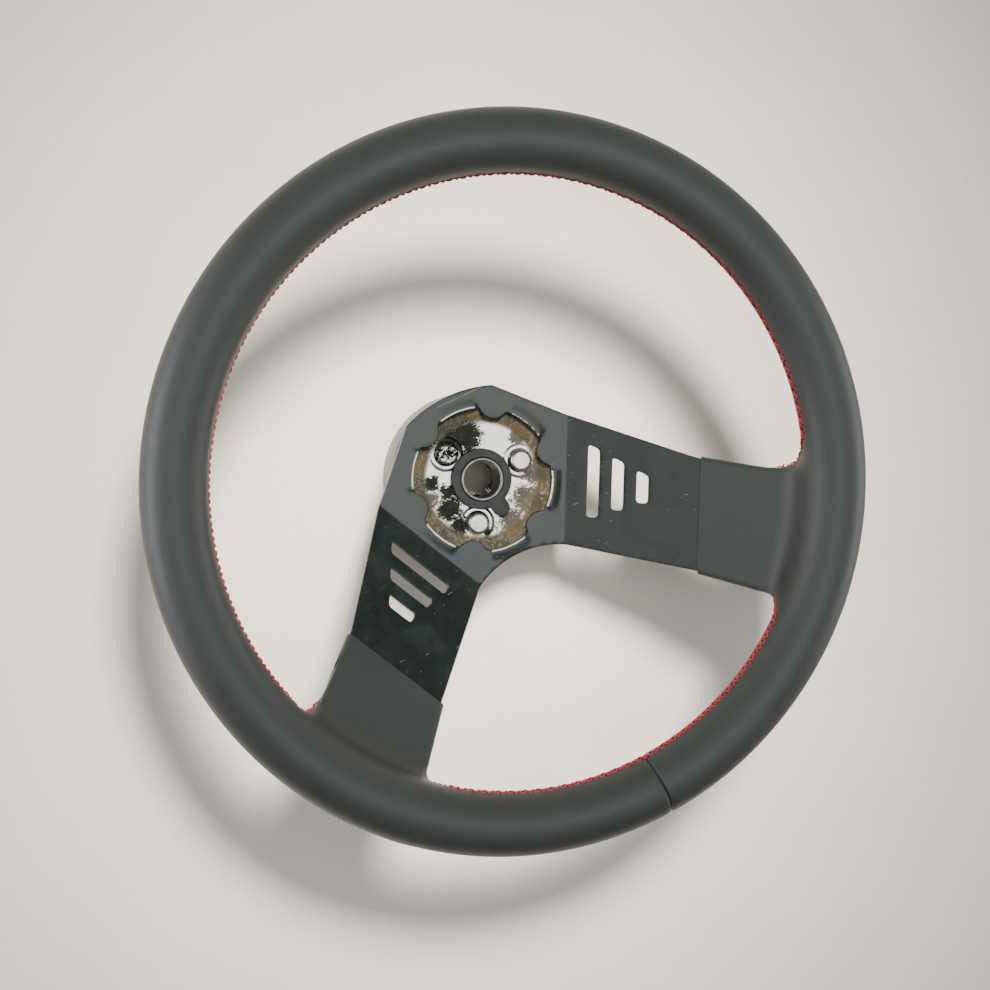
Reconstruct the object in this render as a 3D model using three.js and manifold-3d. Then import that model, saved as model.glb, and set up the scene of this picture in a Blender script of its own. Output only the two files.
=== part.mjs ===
// Quick release steering wheel: a deep-dished, leather-covered rim on a two-spoke steel plate,
// riveted through a chromed hub dish to a boss whose sprung collar frees six locking balls.
//
// Millimetres, +Z along the steering axis towards the driver, -Y at six o'clock.
// The origin is the centre of the boss's rear face, on which the wheel stands.

import * as THREE from 'three';
import { mergeVertices } from 'three/addons/utils/BufferGeometryUtils.js';
import Module from 'manifold-3d';

const wasm = await Module();
wasm.setup();

// ---------------------------------------------------------------- driving dimensions

const GAP = 0.3;                      // clearance between pieces that touch
const HUB_STEPS = 36;                 // facets round the hub's turned pieces

// rim
const WHEEL_DIAMETER = 350;
const GRIP_DIAMETER = 30.2;
const LEATHER = 1.3;
const CORE_DIAMETER = 14;
const RIM_ABOVE_PLATE = 74;           // dish of the wheel: rim centre line above the hub plate
const RIM_STEPS = 48;                 // facets round the rim
const GRIP_STEPS = 12;                // facets round the grip
const CORE_STEPS = 8;

// spoke plate
const PLATE = 2.2;
const PLATE_TOP = 42;                 // front face of the hub plate above the rear face
const SPOKE_ANGLE = 63.5;             // each spoke's bend normal, degrees from six o'clock
const TIP_BACK = 2.9;                 // spoke tip inside the rim's centre line
const TIP_DROP = 2.84;                // spoke tip's front face below the rim's centre line
const BEND_AT = 44;                   // distance of the bend from the axis
const BEND_RADIUS = 6;
const HUB_CROWN = 46.6;               // axis to the plate's edge at twelve o'clock
const HUB_CORNER = { u: 3.3, v: 48.6 };
const MOUTH_OUTER_V = 13.4;           // spoke edges at the mouth of the leather sleeve
const MOUTH_INNER_V = -43.4;
const KINK = { u: 44.7, v: -33.2 };
const THROAT = 43;                    // axis to the concave edge at six o'clock
const TIP_OUTER_V = 8;
const TIP_INNER_V = -50;

// slots in the spokes, the first one nearest the hub
const SLOT_COUNT = 3;
const SLOT_START = 53.7;
const SLOT_PITCH = 11;
const SLOT_WIDTH = 5.3;
const SLOT_OUTER_V = 19.4;
const SLOT_INNER_V = -18.4;
const SLOT_OUTER_STEP = -6.35;
const SLOT_INNER_STEP = 4.2;
const SLOT_SLANT = 2.6;               // outer end: rim side shorter than hub side
const SLOT_CORNER = 1.2;

// leather sleeve over each spoke's root
const SLEEVE_REACH = 55.9;            // mouth to the rim's centre line, in plan
const SLEEVE_SIDE = 1.5;              // leather past the plate's edge at the sleeve's mouth
const WAIST_REACH = 30;               // where the sleeve starts to flare into the rim
const WAIST_OUTER_V = 10.8;
const WAIST_INNER_V = -51.7;
const SLEEVE_FLARE = 5;
const SLEEVE_INTO_RIM = 7.9;          // sleeve's end inside the rim's centre line

// horn-button opening in the hub plate
const TAB_COUNT = 6;
const TAB_RADIUS = 8;
const TAB_REACH = 5;                  // how far each rounded tab stands into the opening
const LIP_SPAN = 32;                  // degrees of each raised lip
const LIP_RISE = 1.8;
const LIP_SETBACK = 0.2;              // lips' inner face outside the opening's edge
const LIP_WIDTH = 1.6;
const LIP_RAMP = 6.9;                 // width of the slope up to each lip
const TAB_TURN = -3;                  // the tabs and lips are turned this far, degrees

// hub dish
const DISH_SHEET = 1.3;
const DISH_DEPTH = 5;
const DISH_WALL_RUN = 7.4;            // dish floor's edge to the opening's edge
const DISH_FLARE = 0.4;               // the wall's top past the opening's edge
const DISH_CURL = 1.8;                // run of the wall's rounded top
const DISH_CURL_DROP = 0.7;
const DISH_FLANGE = 2.6;              // dish and boss rim past the boss's skirt

// rivets
const RIVET_COUNT = 3;
const RIVET_FROM_WASHER = 0.5;
const RIVET_ANGLE = 90;               // first rivet, degrees from six o'clock
const RIVET_SHANK = 4;
const RIVET_BASE = 6.5;
const RIVET_TOP = 5;
const RIVET_HEIGHT = 3.7;

// shaft socket
const SHAFT_BORE = 19.1;
const NOSE_WALL = 1.55;               // wall of the end seen in the dish
const NOSE_RISE = 3.3;                // end face above the dish floor
const SOCKET_WALL = 4.55;
const NOSE_CHAMFER = 0.8;
const KEY_ANGLE = 10.5;               // keyway and washer tab, degrees from six o'clock
const KEY_WIDTH = 5;
const KEY_DEPTH = 2.4;
const KEY_END = 1;                    // keyway's end below the socket's shoulder

// keyed washer
const WASHER_WIDTH = 4.6;
const WASHER = 2.3;
const WASHER_TAB = 6.7;               // tab's reach past the washer's edge
const WASHER_TAB_WIDTH = 8.6;

// boss
const BOSS_FLOOR = 4.4;               // thickness of the boss's end wall
const BOSS_BORE = 36;
const BOSS_SKIRT = 4.4;
const BOSS_RIM_DROP = 6.4;

// locking balls
const BALL_COUNT = 6;
const BALL_RADIUS = 3;
const BALL_PROUD = 1.2;               // how far a locked ball stands into the bore
const BALL_FREE = 0.2;
const BALL_BACK = 5.5;                // ball centre line above the socket's rear end

// release collar and the parts that move with it
const COLLAR_TRAVEL = 6;
const COLLAR_WALL = 3.4;
const COLLAR_RUN = 0.7;               // radial clearance of the collar on the boss
const COLLAR_STOP = 1;                // room left over the pulled collar
const RACE_STOP = 0.7;                // room left over the pulled lock ring
const COLLAR_LIFT = 1;                // collar's rear edge above the rear face
const COLLAR_CHAMFER = 0.9;
const RACE_CLEARANCE = 0.5;
const RACE_WALL = 3.4;
const WEB_BOTTOM = 8.3;
const WEB = 6.4;
const WEB_RUN = 0.4;
const PIN_RADIUS = 1.9;
const PIN_COUNT = 3;
const PIN_ANGLE = 30;                 // first drive pin, degrees from six o'clock
const PIN_INNER = 27;

// spring and its seat
const SPRING_WIRE = 1.8;
const SPRING_TURNS = 3;
const COIL_STEPS = 22;                // steps in each turn
const SEAT = 0.8;
const SEAT_HALF_WIDTH = 3.4;
const SPRING_INSET = 4.2;             // spring's wire centre outside the lock ring's neck

// snap ring and grip ring
const SNAP = 1.3;
const SNAP_GROOVE = 1.6;
const SNAP_STAND = 1.8;               // snap ring's reach inside the boss's bore
const SNAP_OPENING = 24;              // degrees
const CORD_RADIUS = 0.95;
const CORD_HEIGHT = 4.5;
const CORD_PROUD = 0.5;               // grip ring past the boss's skirt
const CORD_SQUEEZE = 0.2;

// ---------------------------------------------------------------- worked-out sizes

const rimRadius = (WHEEL_DIAMETER - GRIP_DIAMETER) / 2;
const gripRadius = GRIP_DIAMETER / 2;
const foamRadius = gripRadius - LEATHER - GAP;
const coreRadius = CORE_DIAMETER / 2;
const rimHeight = PLATE_TOP + RIM_ABOVE_PLATE;
const plateBottom = PLATE_TOP - PLATE;
const tipRadius = rimRadius - TIP_BACK;
const spokeSlope = Math.atan2(RIM_ABOVE_PLATE - TIP_DROP, tipRadius - BEND_AT);
const sleeveMouth = rimRadius - SLEEVE_REACH;
const sleeveWaist = rimRadius - WAIST_REACH;
const sleeveEnd = rimRadius - SLEEVE_INTO_RIM;
const flangeTop = plateBottom - GAP;
const dishFloor = PLATE_TOP - DISH_DEPTH;
const dishUnder = dishFloor - DISH_SHEET;
const bossTop = dishUnder - GAP;
const bossUnder = bossTop - BOSS_FLOOR;
const bossSkirtRadius = BOSS_BORE + BOSS_SKIRT;
const dishRadius = bossSkirtRadius + DISH_FLANGE;
const bossRimTop = flangeTop - DISH_SHEET - GAP;
const bossRimBottom = bossRimTop - BOSS_RIM_DROP;
const boreRadius = SHAFT_BORE / 2;
const noseRadius = boreRadius + NOSE_WALL;
const socketRadius = boreRadius + SOCKET_WALL;
const washerRadius = noseRadius + WASHER_WIDTH;
const rivetCircle = washerRadius + RIVET_FROM_WASHER + RIVET_BASE;
const floorRadius = rivetCircle + RIVET_BASE;
const openingRadius = floorRadius + DISH_WALL_RUN;
const lipInner = openingRadius + LIP_SETBACK;
const rampRadius = openingRadius + LIP_RAMP;
const raceTop = bossUnder - COLLAR_TRAVEL - RACE_STOP;
const ballHeight = raceTop - BALL_RADIUS + RACE_CLEARANCE;
const socketTop = dishFloor + NOSE_RISE;
const socketBottom = ballHeight - BALL_BACK;
const socketShoulder = bossUnder - GAP;
const ballCircle = boreRadius - BALL_PROUD + BALL_RADIUS;
const ballTravel = BALL_PROUD + GAP;
const raceTight = ballCircle + BALL_RADIUS + RACE_CLEARANCE;
const raceLoose = raceTight + ballTravel;
const raceOuter = raceLoose + RACE_WALL;
const springRadius = raceOuter + SPRING_INSET;
const webTop = WEB_BOTTOM + WEB;
const webRadius = BOSS_BORE - WEB_RUN;
const pinHeight = WEB_BOTTOM + WEB / 2;
const collarBore = bossSkirtRadius + COLLAR_RUN;
const collarRadius = collarBore + COLLAR_WALL;
const collarTop = bossRimBottom - COLLAR_TRAVEL - COLLAR_STOP;
const seatTop = bossUnder - GAP;
const seatBottom = seatTop - SEAT;
const snapTop = WEB_BOTTOM - GAP;
const snapBottom = snapTop - SNAP;

// ---------------------------------------------------------------- solids and placing

const radians = THREE.MathUtils.degToRad;

// Clock angle: degrees from six o'clock, positive towards three o'clock seen by the driver.
const clock = (degrees) => radians(degrees - 90);

function toSolid(geometry) {
  const bare = geometry.clone();
  bare.deleteAttribute('normal');
  bare.deleteAttribute('uv');
  const merged = mergeVertices(bare, 1e-4);
  const corners = merged.index.array;
  const kept = [];
  for (let i = 0; i < corners.length; i += 3) {
    const [a, b, c] = [corners[i], corners[i + 1], corners[i + 2]];
    if (a !== b && b !== c && c !== a) kept.push(a, b, c);
  }
  return new wasm.Manifold(new wasm.Mesh({
    numProp: 3,
    vertProperties: new Float32Array(merged.attributes.position.array),
    triVerts: new Uint32Array(kept),
  }));
}

function toGeometry(solid) {
  const mesh = solid.getMesh();
  const geometry = new THREE.BufferGeometry();
  geometry.setAttribute('position', new THREE.BufferAttribute(mesh.vertProperties, 3));
  geometry.setIndex(new THREE.BufferAttribute(mesh.triVerts, 1));
  geometry.computeVertexNormals();
  return geometry;
}

const moved = (geometry, x, y, z) => geometry.clone().translate(x, y, z);

// A piece turned about Z. The profile's [radius, height] points run round it anticlockwise.
function turned(profile, steps = HUB_STEPS) {
  const points = profile.map(([radius, height]) => new THREE.Vector2(radius, height));
  points.push(points[0].clone());
  return toSolid(new THREE.LatheGeometry(points, steps).rotateX(Math.PI / 2));
}

// The same about Z for a profile that starts and ends on the axis.
function turnedOnAxis(profile, steps = 24) {
  const points = profile.map(([radius, height]) => new THREE.Vector2(radius, height));
  return toSolid(new THREE.LatheGeometry(points, steps).rotateX(Math.PI / 2));
}

function ringTube(ringRadius, tubeRadius, height, steps, sides) {
  const profile = [];
  for (let i = 0; i < sides; i += 1) {
    const a = (2 * Math.PI * i) / sides;
    profile.push([ringRadius + tubeRadius * Math.cos(a), height + tubeRadius * Math.sin(a)]);
  }
  return turned(profile, steps);
}

function upright(shape, bottom, top, curveSegments = 12) {
  const options = { depth: top - bottom, bevelEnabled: false, curveSegments };
  return toSolid(moved(new THREE.ExtrudeGeometry(shape, options), 0, 0, bottom));
}

function post(radius, bottom, top, x, y, sides = 24) {
  const geometry = new THREE.CylinderGeometry(radius, radius, top - bottom, sides);
  return toSolid(geometry.rotateX(Math.PI / 2).translate(x, y, (top + bottom) / 2));
}

// A round bar lying along a radius at a clock angle.
function radialBar(radius, from, to, height, angle, sides = 12) {
  const geometry = new THREE.CylinderGeometry(radius, radius, to - from, sides);
  geometry.rotateZ(-Math.PI / 2).translate((from + to) / 2, 0, height);
  return toSolid(geometry.rotateZ(clock(angle)));
}

const joined = (solids) => solids.reduce((sum, solid) => sum.add(solid));
const cutAll = (solid, cutters) => cutters.reduce((rest, cutter) => rest.subtract(cutter), solid);
const around = (count, first) => [...Array(count).keys()].map((i) => first + (360 * i) / count);

// ---------------------------------------------------------------- materials

const finish = (color, roughness, metalness) =>
  new THREE.MeshStandardMaterial({ color, roughness, metalness });

const leather = finish('#2b2f2e', 0.55, 0);
const foam = finish('#3a3a38', 0.95, 0);
const coreSteel = finish('#6d6f70', 0.5, 0.9);
const plateBlack = finish('#1f2423', 0.3, 0.4);
const dishChrome = finish('#d8d4c8', 0.15, 1);
const washerSteel = finish('#4c5050', 0.45, 0.8);
const socketSteel = finish('#a8abaa', 0.3, 0.95);
const rivetSteel = finish('#d2cfc2', 0.2, 1);
const bossAlloy = finish('#8b8d8c', 0.4, 0.9);
const collarAlloy = finish('#5a5652', 0.38, 0.9);
const ringSteel = finish('#77797a', 0.35, 0.95);
const pinSteel = finish('#9a9c9c', 0.3, 0.95);
const ballSteel = finish('#c9cbcc', 0.12, 1);
const springSteel = finish('#6a6d70', 0.4, 0.95);
const blackSteel = finish('#2c2d2e', 0.45, 0.85);
const rubber = finish('#191a1a', 0.8, 0);

const wheel = new THREE.Group();

function addPart(name, solid, material) {
  const mesh = new THREE.Mesh(toGeometry(solid), material);
  mesh.name = name;
  wheel.add(mesh);
  return mesh;
}

// ---------------------------------------------------------------- spoke outline helpers

// Plan point of a spoke: u out along the spoke, v across it towards twelve o'clock.
// side is 1 for the spoke on the driver's right and -1 for the left one.
function spokePoint(side, u, v) {
  const a = radians(SPOKE_ANGLE);
  const x = u * Math.sin(a) + v * Math.cos(a);
  const y = -u * Math.cos(a) + v * Math.sin(a);
  return new THREE.Vector2(side * x, y);
}

// The band between two offsets from the plate's front face, bent at BEND_AT and run out
// along the spoke; offsets are positive towards the driver.
function bentBand(side, low, high, halfWidth = 90) {
  const reach = 200;
  const back = 70;
  const steps = 5;
  const bendStart = BEND_AT - BEND_RADIUS * Math.tan(spokeSlope / 2);
  const bendCentre = PLATE_TOP + BEND_RADIUS;
  const edge = (offset) => {
    const radius = BEND_RADIUS - offset;
    const points = [new THREE.Vector2(-back, PLATE_TOP + offset)];
    for (let i = 0; i <= steps; i += 1) {
      const a = (spokeSlope * i) / steps;
      points.push(new THREE.Vector2(
        bendStart + radius * Math.sin(a), bendCentre - radius * Math.cos(a)));
    }
    const last = points[points.length - 1];
    points.push(new THREE.Vector2(
      last.x + reach * Math.cos(spokeSlope), last.y + reach * Math.sin(spokeSlope)));
    return points;
  };
  const shape = new THREE.Shape([...edge(low), ...edge(high).reverse()]);
  const options = { depth: 2 * halfWidth, bevelEnabled: false };
  const a = radians(SPOKE_ANGLE);
  const along = new THREE.Vector3(side * Math.sin(a), -Math.cos(a), 0);
  const up = new THREE.Vector3(0, 0, 1);
  const across = new THREE.Vector3().crossVectors(along, up);
  const basis = new THREE.Matrix4().makeBasis(along, up, across);
  const geometry = moved(new THREE.ExtrudeGeometry(shape, options), 0, 0, -halfWidth);
  return toSolid(geometry.applyMatrix4(basis));
}

// Half of the plan of the plate on one side, grown outwards by a margin.
function plateHalf(side, margin) {
  const reach = (v) => Math.sqrt((tipRadius + margin) ** 2 - v ** 2);
  const p = (u, v) => spokePoint(side, u, v);
  const corner = p(HUB_CORNER.u, HUB_CORNER.v + margin);
  const kink = p(KINK.u, KINK.v - margin);
  const crown = HUB_CROWN + margin;
  const outline = [new THREE.Vector2(0, crown)];
  const fall = crown - corner.y;
  const crownRadius = (corner.x ** 2 + fall ** 2) / (2 * fall);
  const spread = Math.asin(Math.abs(corner.x) / crownRadius);
  const arcSteps = 5;
  for (let i = 1; i < arcSteps; i += 1) {
    const a = (spread * i) / arcSteps;
    outline.push(new THREE.Vector2(
      side * crownRadius * Math.sin(a), crown - crownRadius * (1 - Math.cos(a))));
  }
  outline.push(corner);
  outline.push(p(sleeveMouth, MOUTH_OUTER_V + margin));
  const tipSteps = 6;
  for (let i = 0; i <= tipSteps; i += 1) {
    const outer = TIP_OUTER_V + margin;
    const v = outer + ((TIP_INNER_V - margin - outer) * i) / tipSteps;
    outline.push(p(reach(v), v));
  }
  outline.push(p(sleeveMouth, MOUTH_INNER_V - margin));
  outline.push(kink);
  // concave arc through the kink and the throat
  const rise = -THROAT - margin - kink.y;
  const throatRadius = (kink.x ** 2 + rise ** 2) / (2 * rise);
  const half = Math.asin(Math.abs(kink.x) / throatRadius);
  for (let i = 1; i <= arcSteps; i += 1) {
    const a = half * (1 - i / arcSteps);
    const drop = throatRadius * (1 - Math.cos(a));
    outline.push(new THREE.Vector2(side * throatRadius * Math.sin(a), -THROAT - margin - drop));
  }
  return new THREE.Shape(outline);
}

const plateDepth = { low: PLATE_TOP - 20, high: rimHeight + 30 };

const platePlan = (side, margin) =>
  upright(plateHalf(side, margin), plateDepth.low, plateDepth.high);

// The bent plate between two offsets from its front face, with its plan grown by a margin.
const bentPlate = (low, high, margin) => joined(
  [1, -1].map((side) => platePlan(side, margin).intersect(bentBand(side, low, high))));

// ---------------------------------------------------------------- spoke plate

const coreRoom = ringTube(rimRadius, coreRadius + GAP, rimHeight, RIM_STEPS, CORE_STEPS);

function slot(side, index) {
  const near = SLOT_START + SLOT_PITCH * index;
  const far = near + SLOT_WIDTH;
  const outer = SLOT_OUTER_V + SLOT_OUTER_STEP * index;
  const inner = SLOT_INNER_V + SLOT_INNER_STEP * index;
  const c = SLOT_CORNER;
  const p = (u, v) => spokePoint(side, u, v);
  const corners = [
    [p(near, inner + c), p(near, inner), p(near + c, inner)],
    [p(far - c, inner), p(far, inner), p(far, inner + c)],
    [p(far, outer - SLOT_SLANT - c), p(far, outer - SLOT_SLANT),
      p(far - c, outer - SLOT_SLANT * (1 - c / SLOT_WIDTH))],
    [p(near + c, outer - (SLOT_SLANT * c) / SLOT_WIDTH), p(near, outer), p(near, outer - c)],
  ];
  const shape = new THREE.Shape();
  shape.moveTo(corners[0][0].x, corners[0][0].y);
  for (const [from, corner, to] of corners) {
    shape.lineTo(from.x, from.y);
    shape.quadraticCurveTo(corner.x, corner.y, to.x, to.y);
  }
  return upright(shape, plateDepth.low, plateDepth.high, 3);
}

function sector(angle, span, radius) {
  const shape = new THREE.Shape();
  const half = radians(span / 2);
  const reach = radius / Math.cos(half);
  shape.moveTo(0, 0);
  shape.lineTo(reach * Math.cos(clock(angle) - half), reach * Math.sin(clock(angle) - half));
  shape.lineTo(reach * Math.cos(clock(angle) + half), reach * Math.sin(clock(angle) + half));
  return upright(shape, plateBottom, PLATE_TOP + 2 * LIP_RISE);
}

function spiderPlate() {
  const tabCircle = openingRadius - TAB_REACH + TAB_RADIUS;
  const tabs = around(TAB_COUNT, 180 / TAB_COUNT + TAB_TURN).map((angle) =>
    post(TAB_RADIUS, plateBottom - 1, PLATE_TOP + 1,
      tabCircle * Math.cos(clock(angle)), tabCircle * Math.sin(clock(angle))));
  const opening = post(openingRadius, plateBottom - 1, PLATE_TOP + 1, 0, 0, 48);
  const ramp = turned([
    [lipInner, PLATE_TOP - 1],
    [rampRadius, PLATE_TOP - 1],
    [rampRadius, PLATE_TOP],
    [lipInner + LIP_WIDTH, PLATE_TOP + LIP_RISE],
    [lipInner, PLATE_TOP + LIP_RISE],
  ], 60);
  const plan = joined([platePlan(1, 0), platePlan(-1, 0)]);
  const lips = around(TAB_COUNT, TAB_TURN).map((angle) =>
    ramp.intersect(sector(angle, LIP_SPAN, rampRadius + 1)).intersect(plan));
  const slots = [1, -1].flatMap((side) =>
    [...Array(SLOT_COUNT).keys()].map((index) => slot(side, index)));
  const flat = bentPlate(-PLATE, 0, 0).subtract(cutAll(opening, tabs));
  return cutAll(joined([flat, ...lips]), [...slots, coreRoom]);
}

addPart('spider_plate', spiderPlate(), plateBlack);

// ---------------------------------------------------------------- rim

const plateRoom = bentPlate(-PLATE - GAP, GAP, GAP);

function sleeveOutline(side) {
  const halfway = (sleeveWaist + sleeveEnd) / 2;
  const plan = [
    [sleeveMouth, MOUTH_OUTER_V + SLEEVE_SIDE],
    [sleeveWaist, WAIST_OUTER_V],
    [halfway, WAIST_OUTER_V + SLEEVE_FLARE / 4],
    [sleeveEnd, WAIST_OUTER_V + SLEEVE_FLARE],
    [sleeveEnd, WAIST_INNER_V - SLEEVE_FLARE],
    [halfway, WAIST_INNER_V - SLEEVE_FLARE / 2],
    [sleeveWaist, WAIST_INNER_V],
    [sleeveMouth, MOUTH_INNER_V - SLEEVE_SIDE],
  ];
  return new THREE.Shape(plan.map(([u, v]) => spokePoint(side, u, v)));
}

addPart('rim_core', ringTube(rimRadius, coreRadius, rimHeight, RIM_STEPS, CORE_STEPS), coreSteel);

const foamRing = ringTube(rimRadius, foamRadius, rimHeight, RIM_STEPS, GRIP_STEPS);
addPart('foam_grip', cutAll(foamRing, [coreRoom, plateRoom]), foam);

const skin = LEATHER + GAP;
const sleeves = [1, -1].map((side) =>
  upright(sleeveOutline(side), plateDepth.low, plateDepth.high)
    .intersect(bentBand(side, -PLATE - skin, skin)));
const leatherRing = ringTube(rimRadius, gripRadius, rimHeight, RIM_STEPS, GRIP_STEPS);
const foamRoom = ringTube(rimRadius, foamRadius + GAP, rimHeight, RIM_STEPS, GRIP_STEPS);
addPart('leather_cover', cutAll(joined([leatherRing, ...sleeves]), [foamRoom, plateRoom]), leather);

// ---------------------------------------------------------------- hub dish and its rivets

const rivetAngles = around(RIVET_COUNT, RIVET_ANGLE);
const rivetHoles = rivetAngles.map((angle) => post(
  RIVET_SHANK + GAP, bossUnder - 1, dishFloor + 1,
  rivetCircle * Math.cos(clock(angle)), rivetCircle * Math.sin(clock(angle)), 16));

const wallTop = openingRadius + DISH_FLARE;
const wallFoot = wallTop - DISH_CURL;
const dishHole = noseRadius + GAP;
const dish = turned([
  [dishHole, dishUnder],
  [floorRadius, dishUnder],
  [wallFoot + DISH_FLARE / 2, flangeTop - DISH_SHEET - DISH_CURL_DROP],
  [wallTop + DISH_FLARE, flangeTop - DISH_SHEET],
  [dishRadius, flangeTop - DISH_SHEET],
  [dishRadius, flangeTop],
  [wallTop, flangeTop],
  [wallFoot, flangeTop - DISH_CURL_DROP],
  [floorRadius, dishFloor],
  [dishHole, dishFloor],
]);
addPart('hub_dish', cutAll(dish, rivetHoles), dishChrome);

rivetAngles.forEach((angle, i) => {
  const x = rivetCircle * Math.cos(clock(angle));
  const y = rivetCircle * Math.sin(clock(angle));
  const seat = dishFloor + GAP;
  const rivet = turnedOnAxis([
    [0, bossUnder],
    [RIVET_SHANK, bossUnder],
    [RIVET_SHANK, seat],
    [RIVET_BASE, seat],
    [RIVET_TOP, seat + RIVET_HEIGHT],
    [0, seat + RIVET_HEIGHT],
  ], 16);
  addPart(`rivet_${i + 1}`, rivet, rivetSteel).position.set(x, y, 0);
});

// ---------------------------------------------------------------- keyed washer and shaft socket

const washerBottom = dishFloor + GAP;
const washerTab = new THREE.Shape();
washerTab.moveTo(0, -WASHER_TAB_WIDTH / 2);
washerTab.absarc(washerRadius + WASHER_TAB - WASHER_TAB_WIDTH / 2, 0, WASHER_TAB_WIDTH / 2,
  -Math.PI / 2, Math.PI / 2);
washerTab.lineTo(0, WASHER_TAB_WIDTH / 2);
const tabGeometry = new THREE.ExtrudeGeometry(
  washerTab, { depth: WASHER, bevelEnabled: false, curveSegments: 8 });
const washerTabSolid = toSolid(
  tabGeometry.rotateZ(clock(KEY_ANGLE)).translate(0, 0, washerBottom));
const washerDisc = post(washerRadius, washerBottom, washerBottom + WASHER, 0, 0, 40);
const washerHole = post(noseRadius + GAP, washerBottom - 1, washerBottom + WASHER + 1, 0, 0, 40);
addPart('key_washer', washerDisc.add(washerTabSolid).subtract(washerHole), washerSteel);

const ballAngles = around(BALL_COUNT, KEY_ANGLE + 180 / BALL_COUNT);
const socketBlank = turned([
  [boreRadius, socketBottom],
  [socketRadius, socketBottom],
  [socketRadius, socketShoulder],
  [noseRadius, socketShoulder],
  [noseRadius, socketTop - NOSE_CHAMFER / 2],
  [noseRadius - NOSE_CHAMFER / 2, socketTop],
  [boreRadius + NOSE_CHAMFER, socketTop],
  [boreRadius, socketTop - NOSE_CHAMFER],
]);
const keyTop = socketShoulder - KEY_END;
const keyway = toSolid(
  new THREE.BoxGeometry(boreRadius + KEY_DEPTH, KEY_WIDTH, keyTop - socketBottom + 1)
    .translate((boreRadius + KEY_DEPTH) / 2, 0, (keyTop + socketBottom - 1) / 2)
    .rotateZ(clock(KEY_ANGLE)));
const ballHoles = ballAngles.map((angle) => radialBar(
  BALL_RADIUS + BALL_FREE, boreRadius / 2, socketRadius + 1, ballHeight, angle, 16));
addPart('shaft_socket', cutAll(socketBlank, [keyway, ...ballHoles]), socketSteel);

ballAngles.forEach((angle, i) => {
  const ball = toSolid(new THREE.SphereGeometry(BALL_RADIUS, 10, 6).rotateX(Math.PI / 2));
  addPart(`lock_ball_${i + 1}`, ball, ballSteel).position.set(
    ballCircle * Math.cos(clock(angle)), ballCircle * Math.sin(clock(angle)), ballHeight);
});

// ---------------------------------------------------------------- boss

const pinAngles = around(PIN_COUNT, PIN_ANGLE);
const pinRoom = PIN_RADIUS + GAP;
const slotRoom = PIN_RADIUS + WEB_RUN;

function pinSlot(angle) {
  const from = BOSS_BORE - 2;
  const to = bossSkirtRadius + 2;
  const low = radialBar(slotRoom, from, to, pinHeight, angle);
  const high = radialBar(slotRoom, from, to, pinHeight + COLLAR_TRAVEL, angle);
  const middle = toSolid(new THREE.BoxGeometry(to - from, 2 * slotRoom, COLLAR_TRAVEL)
    .translate((from + to) / 2, 0, pinHeight + COLLAR_TRAVEL / 2)
    .rotateZ(clock(angle)));
  return joined([low, high, middle]);
}

const bossProfile = turned([
  [dishHole, bossUnder],
  [BOSS_BORE, bossUnder],
  [BOSS_BORE, snapTop + GAP],
  [BOSS_BORE + SNAP_GROOVE, snapTop + GAP],
  [BOSS_BORE + SNAP_GROOVE, snapBottom - GAP],
  [BOSS_BORE, snapBottom - GAP],
  [BOSS_BORE, 0],
  [bossSkirtRadius, 0],
  [bossSkirtRadius, CORD_HEIGHT - CORD_RADIUS - GAP],
  [bossSkirtRadius - 2 * CORD_RADIUS + CORD_SQUEEZE, CORD_HEIGHT - CORD_RADIUS - GAP],
  [bossSkirtRadius - 2 * CORD_RADIUS + CORD_SQUEEZE, CORD_HEIGHT + CORD_RADIUS + GAP],
  [bossSkirtRadius, CORD_HEIGHT + CORD_RADIUS + GAP],
  [bossSkirtRadius, bossRimBottom],
  [dishRadius, bossRimBottom],
  [dishRadius, bossRimTop],
  [wallTop + DISH_FLARE, bossRimTop],
  [wallFoot + DISH_FLARE, bossRimTop - DISH_CURL_DROP],
  [floorRadius, bossTop],
  [dishHole, bossTop],
]);
addPart('hub_boss', cutAll(bossProfile, [...rivetHoles, ...pinAngles.map(pinSlot)]), bossAlloy);

const cordCircle = bossSkirtRadius - CORD_RADIUS + CORD_PROUD;
addPart('grip_ring', ringTube(cordCircle, CORD_RADIUS, CORD_HEIGHT, HUB_STEPS, 6), rubber);

// ---------------------------------------------------------------- release collar, lock ring, pins

const pinHoles = pinAngles.map((angle) =>
  radialBar(pinRoom, PIN_INNER - GAP, collarRadius + 2, pinHeight, angle));
const collar = turned([
  [collarBore, COLLAR_LIFT],
  [collarRadius - COLLAR_CHAMFER, COLLAR_LIFT],
  [collarRadius, COLLAR_LIFT + COLLAR_CHAMFER],
  [collarRadius, collarTop - COLLAR_CHAMFER],
  [collarRadius - COLLAR_CHAMFER, collarTop],
  [collarBore, collarTop],
]);
addPart('release_collar', cutAll(collar, pinHoles), collarAlloy);

const lockRing = turned([
  [raceLoose, WEB_BOTTOM],
  [webRadius, WEB_BOTTOM],
  [webRadius, webTop],
  [raceOuter, webTop],
  [raceOuter, raceTop],
  [raceTight, raceTop],
  [raceTight, ballHeight],
  [raceLoose, ballHeight - COLLAR_TRAVEL],
]);
addPart('lock_ring', cutAll(lockRing, pinHoles), ringSteel);

pinAngles.forEach((angle, i) => {
  const pin = radialBar(PIN_RADIUS, PIN_INNER, collarRadius - GAP, pinHeight, angle);
  addPart(`drive_pin_${i + 1}`, pin, pinSteel);
});

// ---------------------------------------------------------------- spring, seat and snap ring

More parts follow.
